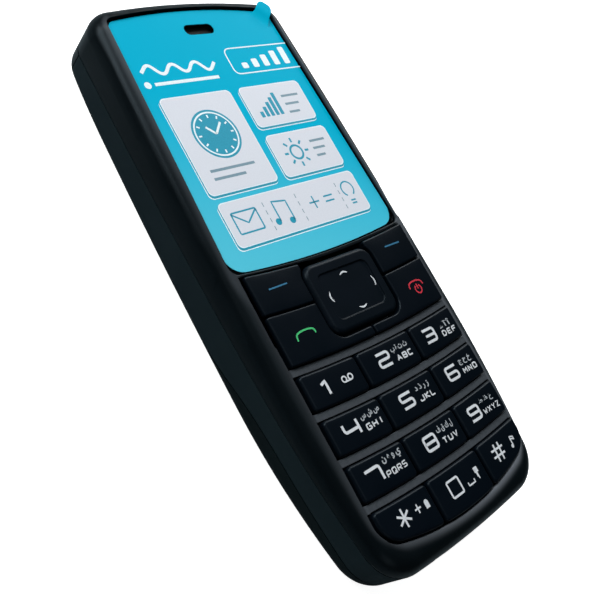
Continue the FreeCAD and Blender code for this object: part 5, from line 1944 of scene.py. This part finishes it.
# ---- the inside ----------------------------------------------------------------------
@dataclass
class Interior:
    """Everything under the housings: it takes finishes, and round parts take smooth skins.

    The battery's print starts at battery_face, and each layer of it lies ink_step under the one before. A row
    of small print runs between margin on both sides, ends ragged, and takes its words' lengths from runs.
    """

    bench: Bench
    rounded: tuple[str, ...] = ("battery", "charging_port", "dome_sheet", "earpiece_speaker", "headset_jack",
                                "housing_screws", "keypad_mat", "loudspeaker", "microphone", "rocker_pivot",
                                "torch_lens", "vibration_motor", "vibration_weight")
    plain: tuple[str, ...] = ("antenna", "battery_contacts", "display_module", "earpiece_mesh", "main_board",
                              "memory_card_holder", "radio_shield", "sim_holder_left", "sim_holder_right",
                              "torch_led")
    battery_face: float = 2.1
    ink: float = 0.012
    ink_step: float = 0.014
    margin: float = 11.3
    ragged: float = 1.7
    row_high: float = 0.2
    row_pitch: float = 1.75
    row_count: int = 12
    word_gap: float = 0.75
    word_least: float = 0.8
    runs: tuple[float, ...] = (3.1, 1.6, 4.2, 2.3, 2.9, 1.2, 3.7)
    bars: tuple[float, ...] = (-11.0, -10.3, -9.2, -8.6, -7.4, -6.8, -6.2, -4.9, -4.3, -3.1, -2.5)

    def build(self) -> None:
        """Dresses the inner parts and prints the battery."""
        for node in self.rounded:
            piece = self.bench.skin(node)
            self.bench.smooth(piece, 32.0)
            self.bench.cover(node, piece)
        for node in self.plain:
            finish = NODE_FINISH.get(node, SLOT_FINISH[self.bench.slots[node]])
            self.bench.dress(frame["nodes"][node], finish)
            log.info("%s: dressed as it is", node)
        self.battery_print()

    def battery_print(self) -> None:
        """Prints the battery's poles and its label: a heading, small print, signs and a bar code."""
        low = self.battery_face - self.ink_step
        self.stick(self.pen(0.6).draw([
            line((-4.6, 10.4), (-2.6, 10.4)), line((-3.6, 9.4), (-3.6, 11.4)),
            line((2.6, 10.4), (4.6, 10.4))], low), "battery_poles", Palette.LEGEND)
        self.stick(self.bench.plate((0.0, -13.2), (27.0, 39.0), 1.0, low, low + self.ink), "battery_label",
                   Palette.LABEL)
        top = low - self.ink_step
        heights = [self.row_high - self.row_pitch * row for row in range(self.row_count)]
        words = [line((-start, height), (-start - run, height))
                 for row, height in enumerate(heights) for start, run in self.words(row)]
        small = self.pen(0.4).draw(words, top)
        heading = self.pen(1.2).draw([line((self.margin, 3.4), (0.5, 3.4))], top)
        signs = self.pen(0.34).draw([
            line((11.4, -29.6), (9.1, -25.6), (6.8, -29.6), closed=True, rounded=False),
            line((9.1, -28.2), (9.1, -27.0)), line((9.1, -28.9), (9.1, -28.75)),
            ring((2.6, -27.7), 1.8, 30.0, 330.0, 24),
            line((4.7, -25.9), (4.2, -26.8), (5.1, -27.3), rounded=False),
            *(line((place, -29.4), (place, -25.8)) for place in self.bars)], top)
        self.stick(self.bench.join([small, heading, signs]), "battery_label_print", Palette.LABEL_INK)

    def pen(self, width: float) -> Pen:
        """Gives a pen for the battery's print, which leaves corners sharp."""
        return Pen(self.bench, width, self.ink, corner=0.0)

    def words(self, row: int) -> Iterator[tuple[float, float]]:
        """Sets one row of small print.

        Args:
            row: its number from the top.

        Returns:
            The start and length of each word.
        """
        start, end, step = -self.margin, self.margin - self.ragged * (row % 3), row
        while start < end - self.word_least:
            run = min(self.runs[step % len(self.runs)], end - start)
            yield start, run
            start, step = start + run + self.word_gap, step + 1

    def stick(self, piece: Piece, name: str, finish: Palette) -> None:
        """Dresses a print on the battery and lets it ride with the phone."""
        self.bench.dress(piece, finish)
        self.bench.mount(piece, name, "phone", "battery_wrap")


# ---- studio --------------------------------------------------------------------------
@dataclass(frozen=True)
class Lamp:
    """One soft box."""

    name: str
    place: Place
    size: Point
    power: float
    aim: Place = (0.0, 0.0, 0.0)

    def hang(self) -> None:
        """Hangs the soft box and points it."""
        light = bpy.data.lights.new(self.name, "AREA")
        light.shape = "RECTANGLE"
        light.size, light.size_y = self.size
        light.energy = self.power
        lamp = bring_in(self.name, light)
        lamp.location = self.place
        lamp.rotation_euler = (Vector(self.aim) - Vector(self.place)).to_track_quat("-Z", "Y").to_euler()


@dataclass
class Studio:
    """Pale floor, soft boxes and the camera.

    Floor and room look pale to the camera, and light the phone with the dimmer bounce and gloom. Places here
    are in metres.
    """

    eye: Place = (-0.096313, -0.025272, 0.109057)
    right: Place = (0.70005, -0.47765, 0.53083)
    up: Place = (0.27316, 0.86594, 0.41896)
    lens: float = 49.98
    sensor: float = 36.0
    reach: tuple[float, float] = (0.005, 20.0)
    floor_size: float = 8.0
    floor_seen: Colour = (0.80, 0.80, 0.80, 1.0)
    floor_glow: float = 0.9
    bounce: Colour = (0.24, 0.31, 0.34, 1.0)
    gloom: Colour = (0.70, 0.92, 1.0, 1.0)
    room_light: float = 0.04
    room_seen: float = 0.98
    lamps: tuple[Lamp, ...] = field(default_factory=lambda: (
        Lamp("soft_box_left", (-0.45, 0.62, 0.55), (0.45, 0.4), 5.0),
        Lamp("soft_box_far", (0.10, 0.62, 0.75), (0.5, 0.35), 5.5),
        Lamp("soft_box_over", (0.0, 0.0, 0.95), (0.5, 0.4), 0.8),
        Lamp("soft_box_near", (-0.42, -0.66, 0.52), (0.4, 0.4), 0.4),
        Lamp("soft_box_right", (0.62, 0.56, 0.36), (0.5, 0.35), 3.0),
    ))

    def build(self) -> None:
        """Sets up floor, surroundings, lamps and camera."""
        self.floor()
        self.surroundings()
        for lamp in self.lamps:
            lamp.hang()
        self.camera()
        bpy.context.scene.view_settings.view_transform = "Standard"

    def floor(self) -> None:
        """Lays a large pale table top, softly lit from within like opal glass."""
        bpy.ops.object.select_all(action="DESELECT")
        bpy.ops.mesh.primitive_plane_add(size=self.floor_size, location=(0, 0, 0))
        floor = bpy.context.active_object
        floor.name = "table_top"
        material = bpy.data.materials.new("opal_table")
        material.use_nodes = True
        graph = Graph(material.node_tree)
        shader = material.node_tree.nodes["Principled BSDF"]
        seen = graph.add("ShaderNodeLightPath").outputs["Is Camera Ray"]
        graph.feed(shader.inputs["Base Color"], graph.blend(seen, self.bounce, self.floor_seen))
        shader.inputs["Roughness"].default_value = 0.9
        shader.inputs["Emission Color"].default_value = WHITE
        graph.feed(shader.inputs["Emission Strength"], graph.times(seen, self.floor_glow))
        floor.data.materials.append(material)

    def surroundings(self) -> None:
        """Makes the room white to look at, and dim as a light."""
        world = bpy.data.worlds.new("room")
        world.use_nodes = True
        graph = Graph(world.node_tree)
        backdrop = world.node_tree.nodes["Background"]
        seen = graph.add("ShaderNodeLightPath").outputs["Is Camera Ray"]
        graph.feed(backdrop.inputs["Color"], graph.blend(seen, self.gloom, WHITE))
        strength = graph.plus(graph.times(seen, self.room_seen), self.room_light)
        graph.feed(backdrop.inputs["Strength"], strength)
        bpy.context.scene.world = world

    def camera(self) -> None:
        """Places the camera."""
        data = bpy.data.cameras.new("camera")
        data.lens = self.lens
        data.sensor_width = self.sensor
        data.clip_start, data.clip_end = self.reach
        camera = bring_in("camera", data)
        back = Vector(self.right).cross(Vector(self.up)).normalized()
        turn = Matrix((self.right, self.up, back)).transposed().to_4x4()
        camera.matrix_world = Matrix.Translation(self.eye) @ turn
        bpy.context.scene.camera = camera


def main() -> None:
    """Builds the phone piece by piece, then the studio."""
    logging.basicConfig(level=logging.INFO, format="%(name)s: %(message)s")
    bench = Bench()
    Housings(bench).build()
    Keypad(bench).build()
    Rocker(bench).build()
    Window(bench).build()
    Interior(bench).build()
    Studio().build()


if __name__ == "__main__":
    main()
